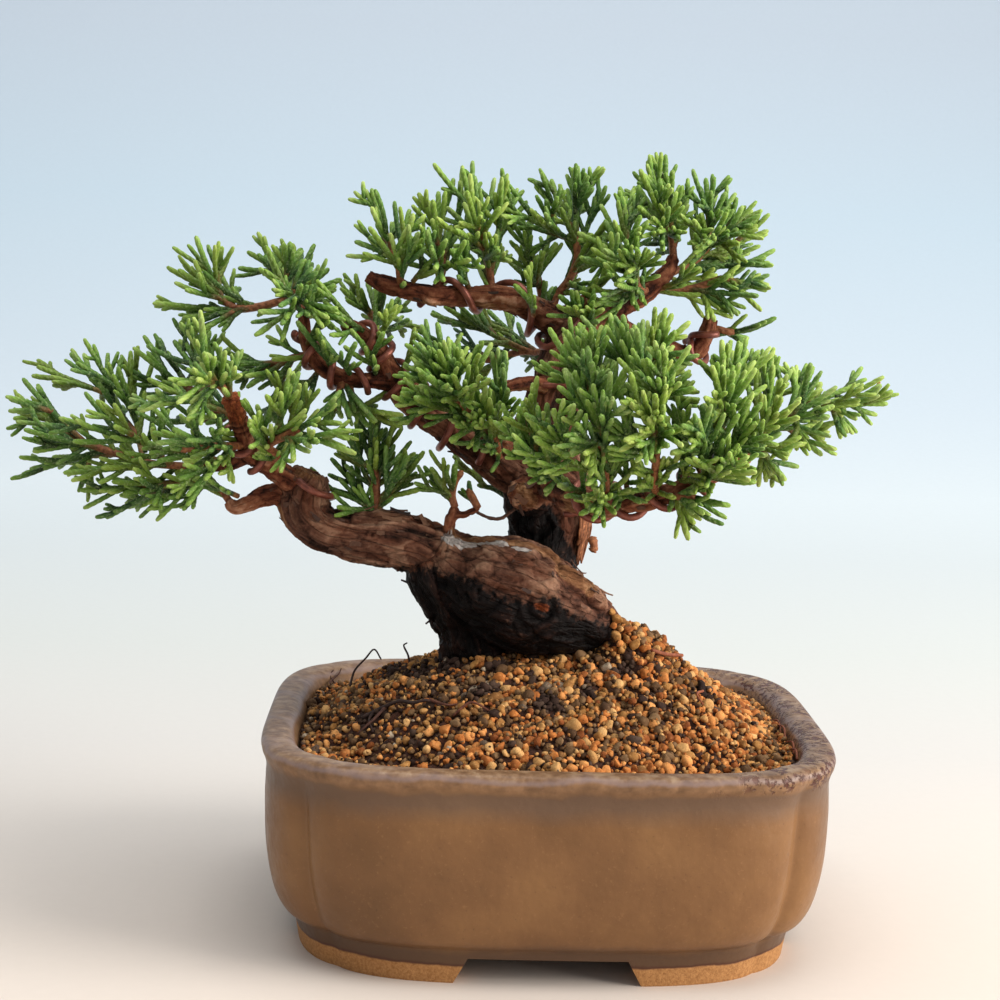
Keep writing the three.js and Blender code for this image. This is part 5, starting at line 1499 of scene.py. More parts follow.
def make_tree(settings):
    """All the wood as one skin: limbs joined, then given folds, knobs and hollows."""
    skin = Skin()
    for rows in LIMBS:
        route = smooth_route(rows, BARK_STEPS)
        rounding = CUT_END if rows in CUT_LIMBS else ROUND_END
        skin.add(*tube(route[:, :3], route[:, 3], BARK_SIDES, rounding=rounding))
    bark = bark_finish()
    tree = skin.build("juniper_wood", bark)
    applied(tree, "REMESH", mode="VOXEL", voxel_size=settings.bark_pitch / 1000)
    mesh = tree.data
    points = mesh_points(mesh)
    normals = np.empty(len(points) * 3)
    mesh.vertices.foreach_get("normal", normals)
    normals = normals.reshape(-1, 3)
    grain, radius = grain_coordinates(points, wood_stations())
    relief = bark_relief(grain, radius, points) - BARK_SUNK
    moved = points + normals * (relief * settings.bark_relief)[:, None]
    mesh.vertices.foreach_set("co", metres(moved).ravel())
    shares = bark_shares(points, radius, relief)
    write_shares(mesh, shares)
    stretched = grain * np.array([1, 1, GRAIN_STRETCH]) / 1000
    attribute = mesh.attributes.new("grain", "FLOAT_VECTOR", "POINT")
    attribute.data.foreach_set("vector", stretched.ravel())
    mesh.shade_smooth()
    mesh.update()
    mesh.materials.clear()
    mesh.materials.append(bark)
    finish_piece(tree, "bark", "tree")
    make_flakes(moved, normals, radius, shares["wet_and_shade"])
    make_fine_wood()


def make_flakes(points, normals, radius, wet_and_shade):
    """Thin plates of bark that have come up at one end, some of them larger."""
    rng = random.Random(21)
    skin = Skin()
    stations = wood_stations()
    bare = (radius > FLAKE_LEAST_RADIUS) & (points[:, 2] > FLAKE_LOWEST) & (wet_and_shade < 0.2)
    dry = np.flatnonzero(bare)
    for _ in range(FLAKES):
        i = int(dry[rng.randrange(len(dry))])
        add_flake(skin, points[i], normals[i], stations, 1.0, rng)
    for place in PLATES:
        i = int(np.argmin(np.linalg.norm(points - np.array(place), axis=1)))
        add_flake(skin, points[i], normals[i], stations, PLATE_SIZE, rng)
    finish = Finish("flakes", 0.85)
    tone = finish.ramp(
        finish.share("tint"),
        (0, linear(50, 31, 24)),
        (0.6, linear(98, 65, 49)),
        (1, linear(136, 96, 70)),
    )
    streaks = finish.ramp(finish.noise(0.7, 4), (0.3, 0.4), (0.7, 1.0))
    finish.colour(finish.mix(0.6, tone, streaks, "MULTIPLY"))
    finish.relief((finish.noise(0.5, 4), 0.1))
    flakes = skin.build("bark_flakes", finish.material, smooth=False)
    finish_piece(flakes, "bark")


def add_flake(skin, place, out, stations, size, rng):
    """One closed plate that lies along its limb and lifts towards its free end."""
    nearest = stations[np.argmin(np.linalg.norm(stations[:, :3] - place, axis=1))]
    ahead = unit(nearest[4:7] - out * nearest[4:7].dot(out)) * rng.choice((-1, 1))
    side = np.cross(out, ahead)
    length = size * rng.uniform(*FLAKE_LENGTH)
    half = size * rng.uniform(*FLAKE_HALF_WIDTH)
    lift = size * rng.uniform(*FLAKE_LIFT)
    rows = []
    for share in np.linspace(0, 1, 5):
        middle = place + ahead * length * share + out * (lift * share**2 - FLAKE_SUNK)
        left = half * rng.uniform(0.5, 1.1) * (1 - 0.4 * share)
        right = half * rng.uniform(0.5, 1.1) * (1 - 0.4 * share)
        rows += [middle - side * left, middle + side * right]
    form = np.vstack([rows, np.array(rows) + out * FLAKE_THICKNESS])
    # The lower points are 0 to 9, two in each row, and the upper ones 10 to 19.
    quads = [(0, 1, 11, 10), (8, 18, 19, 9)]
    for a in (0, 2, 4, 6):
        b, c, d = a + 1, a + 3, a + 2
        quads += [(a, d, c, b), (a + 10, b + 10, c + 10, d + 10)]
        quads += [(a, a + 10, d + 10, d), (b, c, c + 10, b + 10)]
    skin.add(form, quads, [], tint=rng.random())


def trunk_fibre(rng):
    """The way of one loose fibre that hangs down over the trunk's bark."""
    top = np.array([rng.uniform(*FIBRE_TOP[0]), 0, rng.uniform(*FIBRE_TOP[1])])
    low = np.array([rng.uniform(*FIBRE_LOW[0]), 0, rng.uniform(*FIBRE_LOW[1])])
    middle_x, middle_y = TRUNK_MIDDLE
    rows = []
    for share in np.linspace(0, 1, 6):
        x, _, z = top + (low - top) * share
        x += rng.uniform(-FIBRE_WANDER, FIBRE_WANDER)
        reach = np.interp(z, *zip(*TRUNK_REACH))
        depth = math.sqrt(max(0, reach**2 - (x - middle_x) ** 2))
        rows.append((min(x, middle_x + reach), middle_y - depth, z))
    return smooth_route(rows, 3)


def make_fine_wood():
    """The roots, dead twigs, fibres and cut stubs that are too slim for the solid wood."""
    finish = Finish("fine_wood", 0.75)
    fibre = finish.noise(0.8, 4, 0.65)
    dark = finish.ramp(fibre, (0.3, linear(14, 8, 8)), (0.7, linear(64, 34, 28)))
    orange = finish.ramp(fibre, (0.3, linear(110, 56, 28)), (0.7, linear(196, 128, 80)))
    finish.colour(finish.mix(finish.share("tint"), dark, orange))
    finish.relief((fibre, 0.2))
    skin = Skin()
    rng = random.Random(33)
    for tint, radius, end_radius, *points in FINE_WOOD:
        route = smooth_route(points, 5)
        radii = np.linspace(radius, end_radius, len(route))[:, None]
        lumps = [[rng.uniform(0.8, 1.2) for _ in range(8)] for _ in radii]
        skin.add(*tube(route, radii * np.array(lumps), 8, rounding=0.3), tint=tint)
    for _ in range(TRUNK_FIBRES):
        route = trunk_fibre(rng)
        radii = np.full(len(route), rng.uniform(*FIBRE_RADIUS))
        skin.add(*tube(route, radii, 5), tint=rng.uniform(0.3, 1))
    finish_piece(skin.build("fine_wood", finish.material), "bark")


# ------------------------------------------------------------------ the wires


def make_wires():
    """Training wires wound closely round their limbs."""
    copper = copper_finish()
    for name, (rows, start, end, turns, angle) in WIRES.items():
        route = smooth_route(rows, WIRE_ROUTE_STEPS)
        steps = int(abs(turns) * WIRE_STEPS_A_TURN)
        share = np.linspace(start, end, steps) * (len(route) - 1)
        stops = np.arange(len(route))
        centre = np.stack([np.interp(share, stops, route[:, i]) for i in range(4)], axis=1)
        side, across = carried_frames(centre[:, :3])
        turn = angle + 2 * np.pi * turns * np.linspace(0, 1, steps)[:, None]
        reach = (centre[:, 3] + WIRE_RADIUS + WIRE_CLEARANCE)[:, None]
        points = centre[:, :3] + reach * (side * np.cos(turn) + across * np.sin(turn))
        skin = Skin()
        skin.add(*tube(points, np.full(steps, WIRE_RADIUS), WIRE_SIDES))
        finish_piece(skin.build("training_" + name, copper), "copper", name)


# ------------------------------------------------------------------ the foliage

# Which joint a shoot leaves from: what a turn costs, and a joint that is itself on a shoot.
TURN_COST = 1.25
ORDER_COST = 0.3
# Where the joints are, as shares of the length of a core or a shoot.
CORE_JOINTS = np.arange(0.1, 1.001, 0.1)
SHOOT_JOINTS = (0.16, 0.26, 0.36, 0.46, 0.56)
# How a spike's tip is known: the least length of its edges, and how alike they run.
TIP_EDGE = 1.5
TIP_LIKENESS = 0.9
# How a shoot bends from its joint and sags, as shares of its length.
SHOOT_BEND = 0.07
SHOOT_SAG = 0.03


def spray_tips(name):
    """The tips of a spray's shoots: the points where long edges meet in a spike."""
    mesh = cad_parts[name].data
    merged, which = np.unique(mesh_points(mesh).round(3), axis=0, return_inverse=True)
    which = which.ravel()
    neighbours = [set() for _ in merged]
    for edge in mesh.edges:
        a, b = (which[i] for i in edge.vertices)
        if a != b:
            neighbours[a].add(b)
            neighbours[b].add(a)
    tips = []
    for i, others in enumerate(neighbours):
        ways = np.array([merged[j] - merged[i] for j in others])
        if len(ways) < 3 or np.linalg.norm(ways, axis=1).min() < TIP_EDGE:
            continue
        mean = unit(unit(ways).mean(axis=0))
        if (unit(ways) @ mean).min() > TIP_LIKENESS:
            tips.append(merged[i])
    return np.array(tips)


def leaving(joints, tip):
    """The joint where the shoot to a tip leaves: near it, and heading towards it."""
    best = None
    for joint in joints:
        way = tip - joint[0]
        length = np.linalg.norm(way)
        turn = TURN_COST - (way / length).dot(joint[1])
        cost = length * turn * (1 + ORDER_COST * joint[2])
        if best is None or cost < best[0]:
            best = (cost, joint, length)
    return best[1], best[2]


def bent_way(start, ahead, end, length):
    """A gently bent way from a joint to a tip."""
    middle = (start + end) / 2 + ahead * SHOOT_BEND * length
    middle[2] -= SHOOT_SAG * length
    t = np.linspace(0, 1, 9)[:, None]
    return (1 - t) ** 2 * start + 2 * t * (1 - t) * middle + t**2 * end


def shoots_of(name):
    """The ways of a spray's core and shoots, each with the order in which it branches."""
    core = smooth_route(CORES[name], 6)
    heading = directions(core)
    joints = []
    for share in CORE_JOINTS:
        i = int(round(share * (len(core) - 1)))
        joints.append((core[i], heading[i], 0))
    tips = spray_tips(name)
    near = np.array([min(np.linalg.norm(tip - joint[0]) for joint in joints) for tip in tips])
    ways = [(core, 0)]
    for tip in tips[np.argsort(-near, kind="stable")]:
        joint, length = leaving(joints, tip)
        way = bent_way(joint[0], joint[1], tip, length)
        ways.append((way, joint[2] + 1))
        heading = directions(way)
        joints = [other for other in joints if other is not joint]
        for share in SHOOT_JOINTS:
            i = int(round(share * (len(way) - 1)))
            joints.append((way[i], heading[i], joint[2] + 1))
    return ways


# The cords of scale leaves: the leaves' pitch, the sides of a cord, how far the leaves stand
# out, and how its tip narrows: by how much, over what length, and over what share at most.
SCALE_PITCH = 0.72
CORD_SIDES = 6
SCALE_RELIEF = 0.13
TIP_TAPER = 0.3
TIP_LENGTH = 1.1
TIP_SHARE = 0.4
TIP_ROUNDING = 0.7
# Radii of the leafy stem, of a shoot, of its twiglets, of their forks and of a bare cord.
STEM_RADIUS = 0.85
SHOOT_RADIUS = 0.62
TWIGLET_RADIUS = (0.5, 0.64)
FORK_RADIUS = (0.46, 0.56)
WHIP_RADIUS = 0.55
# Lengths of twiglets and forks, and of a shoot's bare tip.
TWIGLET_LENGTH = (4.5, 11.5)
FORK_LENGTH = (2.6, 6)
BARE_TIP = (2.5, 6)
# How far they lean away from what they grow on, in degrees.
TWIGLET_LEAN = (22, 48)
FORK_LEAN = (24, 48)
# Twiglets over this length may fork, so often at each of three places.
FORKS_FROM = 4
FORK_CHANCE = 0.42

# Small shoots on the limbs between the sprays: how much painted light each has, and its way.
SMALL_SHOOTS = [
    (0.3, (-38, -4, 90), (-43, -2, 95), (-47.5, 0, 99.5)),
    (0.3, (-37.5, -4, 90.5), (-33.5, -4, 95.5), (-29.6, -4, 100)),
    (0.35, (-38, -3, 92), (-36.5, -1, 99), (-35, 0, 105.5)),
    (0.3, (-38, -4, 93), (-41, -3, 99), (-42.5, -2, 106)),
    (0.3, (-37.6, -4, 88.6), (-42, -5, 91.5), (-46.5, -5, 93)),
    (0.25, (-14, 12, 93), (-17, 14, 95.5), (-20.5, 15, 97)),
    (0.25, (-9, 12, 90.5), (-12, 15, 92), (-15.5, 16, 92.6)),
    (0.5, (-47.2, -9.4, 119.4), (-48.5, -13, 123), (-50, -15.5, 128)),
    (0.45, (-43.5, -9.6, 118.6), (-44, -14, 121), (-42, -17, 125.5)),
    (0.5, (-52.4, -9.4, 124.5), (-50.5, -13, 127.5), (-47, -15, 131)),
    (0.45, (-38.2, -6.4, 118.6), (-39, -10.5, 122), (-41.5, -13, 126)),
    (0.55, (-41, -7.6, 127.5), (-44.5, -11, 130), (-49, -12, 133.5)),
    (0.55, (-38, -6, 125), (-36, -9.5, 129), (-33, -11, 133)),
    (0.4, (-43.5, -8, 116.2), (-42, -9, 111.5), (-39.5, -9.5, 107.5)),
    (0.4, (-49.5, -9, 119.4), (-53, -9.5, 115), (-55.5, -9, 110.5)),
    (0.5, (-53.4, -8, 129), (-51, -9, 133.5), (-47, -10, 137)),
    (0.55, (-33, -3.4, 118.6), (-31, -6, 122), (-27.5, -8, 126)),
    (0.6, (-5, -2, 131.5), (-6, -5.5, 134.5), (-9.5, -8, 138)),
    (0.6, (-30.8, -4.2, 138), (-28, -7, 141.5), (-24.5, -8.5, 144.5)),
    (0.55, (-19, -1.2, 137), (-20.5, -5, 140.5), (-23, -7.5, 145)),
    (0.55, (6, 3.5, 134.5), (9, 0.5, 138.5), (10.5, -2, 143.5)),
    (0.55, (14.5, 4, 136.5), (16, 0, 141), (19, -3, 146)),
    (0.6, (-62, -14, 103.8), (-64.5, -18.5, 106), (-68.5, -22, 106.5)),
    (0.6, (-70, -12, 99.5), (-74, -16, 102), (-79.5, -18, 103.5)),
    (0.6, (-66.5, -9, 92), (-71, -13, 94.5), (-77, -15, 97)),
    (0.8, (-66.6, -27, 115), (-66.6, -30.5, 119.5), (-69.2, -32.5, 125.5)),
    (0.6, (24, -31.8, 101), (24, -37, 106), (23.5, -41, 111.5), (24, -42.5, 116)),
    (0.6, (14, -26, 98), (13.2, -32, 101.5), (12.6, -37, 105.5), (13, -39.5, 110)),
    (0.55, (20, -30, 99.5), (19, -35.5, 102.5), (17.6, -39.5, 107)),
    (0.65, (31, -31, 103), (33.5, -35.5, 106), (35, -38, 110.5)),
    (0.6, (40, -27, 107), (44, -28, 107.6), (48.5, -28.5, 109.6)),
    (0.5, (24, -31.8, 100.4), (26, -37, 101.5), (31, -41, 104)),
    (0.7, (31, -31, 103.4), (35, -34, 107), (40, -35.5, 109.5)),
    (0.7, (34.5, -29, 104.6), (37, -31, 109.5), (38.5, -31.5, 115.5)),
    (0.5, (13, -24, 96.6), (12, -30, 97.5), (9, -36, 97)),
    (0.75, (28, -32.8, 102.6), (25, -37.5, 107), (22.5, -40, 112.5)),
]

# Long bare cords: how much painted light each has, and its way.
WHIPS = [
    (0.5, (33.6, 12, 127.1), (38.6, 12, 128.4), (43.5, 12, 129.2), (48.7, 12, 131.7)),
    (0.6, (-36.6, -6, 148), (-36.9, -6, 150.2), (-37.8, -6, 153.6), (-39.1, -6, 156.8)),
    (0.6, (-13, 6, 153), (-15.3, 6, 156.1), (-18, 6, 158.6), (-20.4, 6, 161.9)),
    (0.5, (-86, -10, 101), (-84.6, -11, 105.6), (-84.2, -11, 110.4)),
    (0.55, (-79, -12, 104), (-83, -13, 107.4), (-87.4, -13, 109.6)),
    (0.45, (-66.5, -6, 133), (-70.6, -6, 135.4), (-74.6, -6, 138.8)),
    (0.6, (-72.4, -30, 105.6), (-76.4, -32, 102.8), (-80, -33, 101.8)),
    (0.7, (9, -40, 103), (6, -44, 107.6), (2.2, -46, 110.6)),
    (0.7, (20, -44, 104), (23.6, -48, 106), (28, -50, 106.4)),
    (0.5, (24, -34, 97.4), (28.6, -36, 94), (32.4, -37, 92.6)),
]


def add_twiglet(skin, points, radius, age, hue=0.5, woody=(0.0, 0.0)):
    """One cord of overlapping scale leaves. Its age with painted light, and its woodiness, go from
    its foot to its tip.
    """
    length = route_length(points)
    count = max(4, int(length / SCALE_PITCH))
    old = np.linspace(0, 1, len(points))
    new = np.linspace(0, 1, count)
    route = np.stack([np.interp(new, old, points[:, i]) for i in range(3)], axis=1)
    row, column = np.indices((count, CORD_SIDES))
    # The checker sets each scale's swell, and the painted shade between scales.
    checker = (row + column) % 2
    wood = np.clip(woody[0] + (woody[1] - woody[0]) * new * 2.2, 0, 1)
    last = min(TIP_SHARE, TIP_LENGTH / length)
    taper = 1 - TIP_TAPER * np.clip((new - 1 + last) / last, 0, 1) ** 2
    swell = 1 + SCALE_RELIEF * (1 - wood[:, None]) * (checker - 0.5)
    ahead = directions(route)
    helper = np.array([0.31, 0.22, 0.92])
    if abs(points[-1][2] - points[0][2]) > 0.8 * length:
        helper = np.array([0.9, 0.3, 0.1])
    side = unit(np.cross(helper, ahead))
    radii = radius * taper[:, None] * swell
    form = tube(route, radii, CORD_SIDES, (side, np.cross(ahead, side)), TIP_ROUNDING)
    ages = np.clip(age[0] + (age[1] - age[0]) * new, 0, 1)
    skin.add(
        *form,
        age=np.append(np.repeat(ages, CORD_SIDES), (ages[0], ages[-1])),
        scale=np.append(checker.ravel(), (0.5, 1.0)),
        woody=np.append(np.repeat(wood, CORD_SIDES), (wood[0], wood[-1])),
        hue=hue,
    )


def branchlet(start, ahead, side, length, lean, rng):
    """A side twiglet that leaves at an angle, then bends a little forwards and up."""
    lean = math.radians(lean)
    first = unit(ahead * math.cos(lean) + side * math.sin(lean))
    turn = ahead * rng.uniform(0.05, 0.4) + np.array([0, 0, rng.uniform(0.0, 0.3)])
    turn = turn + rng.uniform(-0.25, 0.25) * np.cross(ahead, side)
    t = np.linspace(0, 1, 6)[:, None]
    return start + length * (first * t + turn * 0.5 * t**2)


def add_forks(skin, twig, reach, side, age, hue, rng):
    """Small twiglets that fork off a long one, on alternate sides."""
    heading = directions(twig)
    for k, hand in ((1, -1), (2, 1), (3, -1)):
        if rng.random() < FORK_CHANCE:
            lean = rng.uniform(*FORK_LEAN)
            length = min(rng.uniform(*FORK_LENGTH), 0.7 * reach)
            fork = branchlet(twig[k], heading[k], side * hand, length, lean, rng)
            add_twiglet(skin, fork, rng.uniform(*FORK_RADIUS), age, hue)


def dress_shoot(skin, way, order, light, gap, rng):
    """A shoot with twiglets on both sides, the longer of them forked, and a bare tip."""
    length = route_length(way)
    ahead = directions(way)
    roll = rng.uniform(0, math.pi)
    side_zero = unit(np.cross(ahead[0], [0.1, 0.2, 0.97]))
    across_zero = np.cross(ahead[0], side_zero)
    flat = side_zero * math.cos(roll) + across_zero * math.sin(roll)
    young = rng.uniform(-0.1, 0.12)
    # Painted light: the spray's light makes its leaves paler, its shade darker.
    age = (0.05 + 0.15 * light, 0.45 + 0.5 * light + young)
    shoot_hue = rng.random()
    if order == 0:
        add_twiglet(skin, way, STEM_RADIUS, age, 0.5, (1.0, 1.0))
    else:
        woody = (rng.choice((1.0, 0.7, 0.0)), -0.2)
        add_twiglet(skin, way, SHOOT_RADIUS, age, shoot_hue, woody)
    place = (0.14 if order else 0.08) * length
    stop = length - (rng.uniform(*BARE_TIP) if order else 0.5)
    turn = 1
    while place < stop:
        share = place / length * (len(way) - 1)
        i = min(int(share), len(way) - 2)
        start = way[i] + (way[i + 1] - way[i]) * (share - i)
        reach = min(rng.uniform(*TWIGLET_LENGTH), 1.6 + 0.92 * (length - place))
        reach *= rng.uniform(0.8, 1.1)
        twist = rng.uniform(-1.1, 1.1)
        across = np.cross(ahead[i], flat)
        side = unit(flat * math.cos(twist) + across * math.sin(twist)) * turn
        twig = branchlet(start, ahead[i], side, reach, rng.uniform(*TWIGLET_LEAN), rng)
        tint = rng.uniform(-0.18, 0.18)
        own = (0.02 + 0.18 * light + tint, 0.5 + 0.5 * light + tint)
        hue = min(1.0, max(0.0, shoot_hue + rng.uniform(-0.35, 0.35)))
        add_twiglet(skin, twig, rng.uniform(*TWIGLET_RADIUS), own, hue)
        if reach > FORKS_FROM:
            add_forks(skin, twig, reach, side, own, hue, rng)
        place += gap * rng.uniform(0.7, 1.3)
        turn = -turn


def by_start(table, name, other):
    """The value in a table whose key the name starts with."""
    return next((value for start, value in table.items() if name.startswith(start)), other)


def make_foliage(settings):
    """One piece for each spray, grown from its core to the tips that its CAD solid has."""
    leaves = leaf_finish()
    for index, name in enumerate(CORES):
        rng = random.Random(400 + index)
        light = by_start(PAD_LIGHT, name, PAD_LIGHT_ELSE)
        gap = settings.twiglet_gap * by_start(PAD_GAP, name, PAD_GAP_ELSE)
        skin = Skin()
        for way, order in shoots_of(name):
            dress_shoot(skin, way, order, light, gap, rng)
        made = skin.build("leafy_" + name, leaves)
        finish_piece(made, "foliage", name)
    rng = random.Random(77)
    skin = Skin()
    for light, *points in SMALL_SHOOTS:
        dress_shoot(skin, smooth_route(points, 4), 1, light, settings.twiglet_gap, rng)
    for light, *points in WHIPS:
        add_twiglet(skin, smooth_route(points, 4), WHIP_RADIUS, (0.3 * light, light), 0.4)
    finish_piece(skin.build("leafy_small_shoots", leaves), "foliage")


# ------------------------------------------------------------------ hidden fittings


def finish_fittings():
    """Materials for the drain nets and the tie wire, which keep their CAD shapes."""
    for name, material in (
        ("drain_mesh_left", net_finish()),
        ("drain_mesh_right", net_finish()),
        ("tie_wire", galvanised_finish()),
    ):
        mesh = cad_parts[name].data
        mesh.materials.clear()
        mesh.materials.append(material)


# ------------------------------------------------------------------ the studio

# The paper sweep: flat to its bend, then a quarter of a circle. Its colour fades with reach.
SWEEP_NEAR = -1500
SWEEP_BEND = 500
SWEEP_RADIUS = 900
SWEEP_SIDE = 3000
SWEEP_FADE = 1300
CAMERA_AT = (-23.80, -428.83, 147.56)
CAMERA_BACK = Vector((-0.02974, -0.99111, 0.12963))
CAMERA_RIGHT = Vector((0.99955, -0.029995, 0.0))
CAMERA_ROLL = -0.03
SENSOR_WIDTH = 36
CLIP_START = 0.01

# The soft lights: place, what each aims at, width and depth, all in metres, and colour.
TREE_MIDDLE = (0, 0, 0.08)
BACKDROP_MIDDLE = (0, 1.35, 0.45)
LIGHTS = {
    "soft_top": ((0.0, -0.15, 1.2), TREE_MIDDLE, (1.0, 0.9), (1, 0.985, 0.96)),
    "soft_right": ((0.95, -0.35, 0.42), TREE_MIDDLE, (0.6, 0.7), (1, 0.94, 0.87)),
    "soft_back": ((0.0, 0.45, 1.3), BACKDROP_MIDDLE, (2.4, 0.5), (0.95, 0.98, 1)),
}
AIR_COLOUR = linear(232, 236, 240)


def make_camera(settings):
    """The camera, at the height and angle that the pot is seen from."""
    up = CAMERA_BACK.cross(CAMERA_RIGHT)
    right = CAMERA_RIGHT * math.cos(CAMERA_ROLL) - up * math.sin(CAMERA_ROLL)
    up = CAMERA_BACK.cross(right)
    data = bpy.data.cameras.new("studio_camera")
    data.lens = settings.lens
    data.sensor_width = SENSOR_WIDTH
    data.clip_start = CLIP_START
    camera = bpy.data.objects.new("studio_camera", data)
    bpy.context.collection.objects.link(camera)
    turn = Matrix((right, up, CAMERA_BACK)).transposed().to_4x4()
    camera.matrix_world = Matrix.Translation(metres(CAMERA_AT)) @ turn
    bpy.context.scene.camera = camera


def make_light(name, power):
    """One soft light, by its row in the table."""
    at, aim, size, colour = LIGHTS[name]
    data = bpy.data.lights.new(name, "AREA")
    data.shape = "RECTANGLE"
    data.size, data.size_y = size
    data.energy = power
    data.color = colour
    light = bpy.data.objects.new(name, data)
    bpy.context.collection.objects.link(light)
    light.location = at
    way = Vector(aim) - Vector(at)
    light.rotation_euler = way.to_track_quat("-Z", "Y").to_euler()


def make_sweep():
    """The pale sweep of paper: flat under the object, then curved up behind it."""
    flat = np.linspace(SWEEP_NEAR, SWEEP_BEND, 24)
    turn = np.linspace(0, math.pi / 2, 33)[1:]
    along = np.concatenate([flat, SWEEP_BEND + SWEEP_RADIUS * np.sin(turn)])
    rise = np.concatenate([0 * flat, SWEEP_RADIUS * (1 - np.cos(turn))])
    reach = np.concatenate([flat, SWEEP_BEND + SWEEP_RADIUS * turn])
    points = np.array([(x, y, z) for y, z in zip(along, rise) for x in (-SWEEP_SIDE, SWEEP_SIDE)])
    quads = [(2 * i, 2 * i + 1, 2 * i + 3, 2 * i + 2) for i in range(len(along) - 1)]
    share = np.clip(np.repeat(reach, 2) / SWEEP_FADE, 0, 1)
    sweep = mesh_object("studio_sweep", points, quads, [], floor_finish(), reach=share)


def make_stage(settings):
    """A pale sweep of paper under and behind the object, soft lights and the camera."""
    make_sweep()
    make_light("soft_top", settings.top_light)
    make_light("soft_right", settings.side_light)
    make_light("soft_back", settings.back_light)
    world = bpy.data.worlds.new("studio_air")
    bpy.context.scene.world = world
    world.use_nodes = True
    air = world.node_tree.nodes["Background"]
    air.inputs["Color"].default_value = AIR_COLOUR
    air.inputs["Strength"].default_value = settings.air_light
    bpy.context.scene.view_settings.view_transform = "Standard"
    make_camera(settings)


# ------------------------------------------------------------------ settings


class BonsaiPotSettings(bpy.types.PropertyGroup):
    """What a user may change about the pot"""
    glaze: FloatVectorProperty(
        name="Glaze",
        description="Main colour of the glaze",
        subtype="COLOR",
        size=3,
        min=0,
        max=1,
        default=linear(118, 82, 49)[:3],
    )


class BonsaiSoilSettings(bpy.types.PropertyGroup):
    """What a user may change about the soil"""
    spacing: FloatProperty(
        name="Spacing", description="Least distance between grains, in millimetres", default=1.58
    )
    grain_size: FloatProperty(
        name="Grain size", description="Middle width of a grain, in millimetres", default=2.5
    )


class BonsaiTreeSettings(bpy.types.PropertyGroup):
    """What a user may change about the wood"""
    bark_pitch: FloatProperty(
        name="Bark pitch",
        description="Width of the bark's mesh cells, in millimetres",
        default=0.43,
    )
    bark_relief: FloatProperty(
        name="Bark relief", description="Strength of the folds and knobs", default=1.0
    )


class BonsaiFoliageSettings(bpy.types.PropertyGroup):
    """What a user may change about the foliage"""
    twiglet_gap: FloatProperty(
        name="Twiglet gap",
        description="Distance between side twiglets along a shoot, in millimetres",
        default=2.3,
    )


class BonsaiStageSettings(bpy.types.PropertyGroup):
    """What a user may change about the lights and the camera"""
    top_light: FloatProperty(
        name="Top light", description="Power of the light above", unit="POWER", default=10.6
    )
    side_light: FloatProperty(
        name="Side light", description="Power of the light on the right", unit="POWER", default=16.5
    )
    back_light: FloatProperty(
        name="Back light",
        description="Power of the light on the backdrop",
        unit="POWER",
        default=3.5,
    )
    air_light: FloatProperty(
        name="Air light", description="Strength of the light all round", default=0.56
    )
    lens: FloatProperty(
        name="Lens", description="Focal length of the camera", unit="CAMERA", default=72
    )


class BonsaiSettings(bpy.types.PropertyGroup):
    """All the settings of the bonsai"""
    pot: PointerProperty(type=BonsaiPotSettings)
    soil: PointerProperty(type=BonsaiSoilSettings)
    tree: PointerProperty(type=BonsaiTreeSettings)
    foliage: PointerProperty(type=BonsaiFoliageSettings)
    stage: PointerProperty(type=BonsaiStageSettings)


# ------------------------------------------------------------------ operators


class BONSAI_OT_stage(bpy.types.Operator):
    """Lay the paper sweep and set the lights and the camera"""

    bl_idname = "bonsai.stage"
    bl_label = "Studio"

    def execute(self, context):
        make_stage(context.scene.bonsai.stage)
        return {"FINISHED"}


class BONSAI_OT_pot(bpy.types.Operator):
    """Make the four-lobed stoneware pot"""

    bl_idname = "bonsai.pot"
    bl_label = "Pot"

    def execute(self, context):
        make_pot(context.scene.bonsai.pot)
        return {"FINISHED"}


class BONSAI_OT_fittings(bpy.types.Operator):
    """Finish the drain nets and the tie wire"""

    bl_idname = "bonsai.fittings"
    bl_label = "Nets and tie wire"

    def execute(self, context):
        finish_fittings()
        return {"FINISHED"}


class BONSAI_OT_soil(bpy.types.Operator):
    """Make the soil bed, its loose grains and the roots among them"""

    bl_idname = "bonsai.soil"
    bl_label = "Soil"

    def execute(self, context):
        height = soil_surface()
        make_soil_bed(height)
        make_grains(height, context.scene.bonsai.soil)
        make_soil_roots(height)
        return {"FINISHED"}


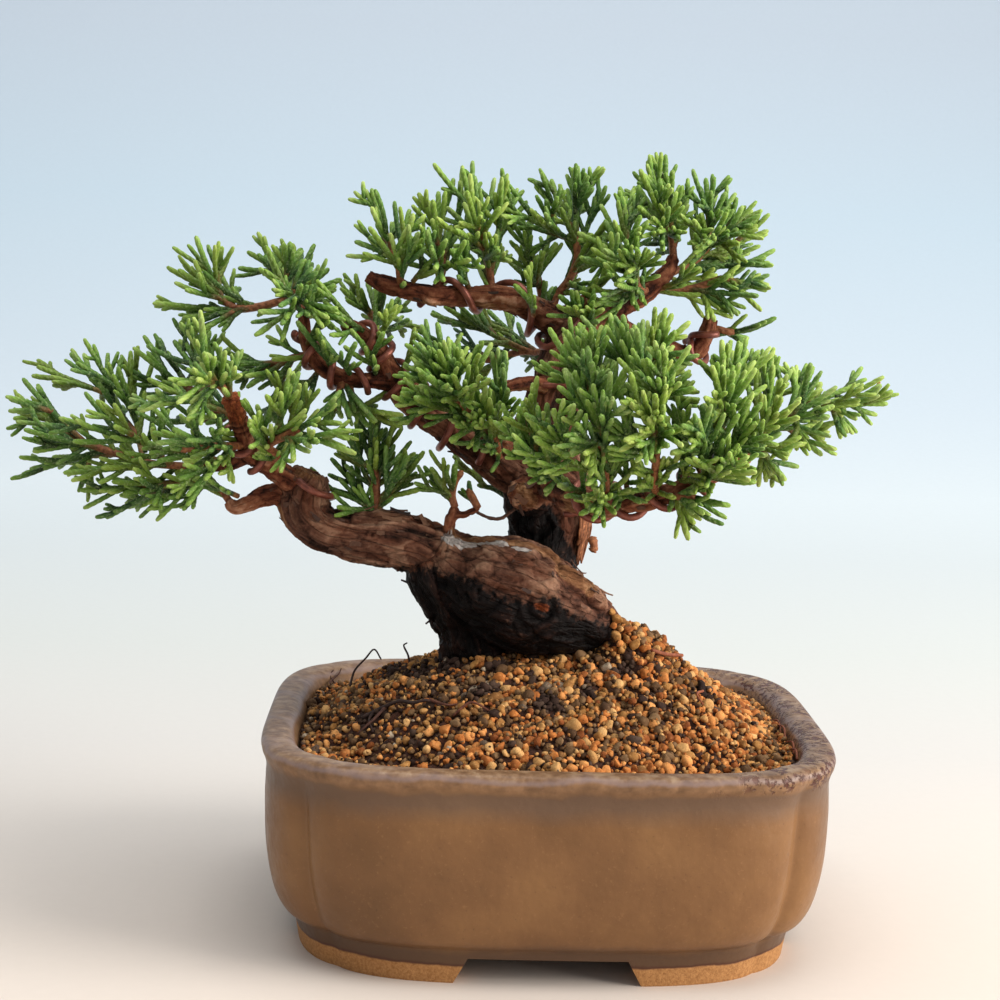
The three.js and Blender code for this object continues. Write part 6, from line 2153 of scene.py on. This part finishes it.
class BONSAI_OT_tree(bpy.types.Operator):
    """Make the roots, trunk and limbs with their bark"""

    bl_idname = "bonsai.tree"
    bl_label = "Wood"

    def execute(self, context):
        make_tree(context.scene.bonsai.tree)
        return {"FINISHED"}


class BONSAI_OT_wires(bpy.types.Operator):
    """Wind the training wires round their limbs"""

    bl_idname = "bonsai.wires"
    bl_label = "Training wires"

    def execute(self, context):
        make_wires()
        return {"FINISHED"}


class BONSAI_OT_foliage(bpy.types.Operator):
    """Grow the sprays of scale leaves"""

    bl_idname = "bonsai.foliage"
    bl_label = "Foliage"

    def execute(self, context):
        make_foliage(context.scene.bonsai.foliage)
        return {"FINISHED"}


OPERATORS = (
    BONSAI_OT_stage,
    BONSAI_OT_pot,
    BONSAI_OT_fittings,
    BONSAI_OT_soil,
    BONSAI_OT_tree,
    BONSAI_OT_wires,
    BONSAI_OT_foliage,
)


class BONSAI_PT_panel(bpy.types.Panel):
    """Lists the pieces of the bonsai"""

    bl_idname = "BONSAI_PT_panel"
    bl_label = "Bonsai"
    bl_space_type = "VIEW_3D"
    bl_region_type = "UI"
    bl_category = "Bonsai"

    def draw(self, context):
        for operator in OPERATORS:
            self.layout.operator(operator.bl_idname)
        settings = context.scene.bonsai
        for group in (settings.pot, settings.soil, settings.tree, settings.foliage, settings.stage):
            for key in group.__annotations__:
                self.layout.prop(group, key)


CLASSES = (
    BonsaiPotSettings,
    BonsaiSoilSettings,
    BonsaiTreeSettings,
    BonsaiFoliageSettings,
    BonsaiStageSettings,
    BonsaiSettings,
    *OPERATORS,
    BONSAI_PT_panel,
)


def register():
    """Adds the operators, the panel and the settings."""
    for item in CLASSES:
        bpy.utils.register_class(item)
    bpy.types.Scene.bonsai = PointerProperty(type=BonsaiSettings)


def unregister():
    """Takes them all away again."""
    del bpy.types.Scene.bonsai
    for item in reversed(CLASSES):
        bpy.utils.unregister_class(item)


def main():
    """Builds everything."""
    register()
    bpy.ops.bonsai.stage()
    bpy.ops.bonsai.pot()
    bpy.ops.bonsai.fittings()
    bpy.ops.bonsai.soil()
    bpy.ops.bonsai.tree()
    bpy.ops.bonsai.wires()
    bpy.ops.bonsai.foliage()


if __name__ == "__main__":
    main()
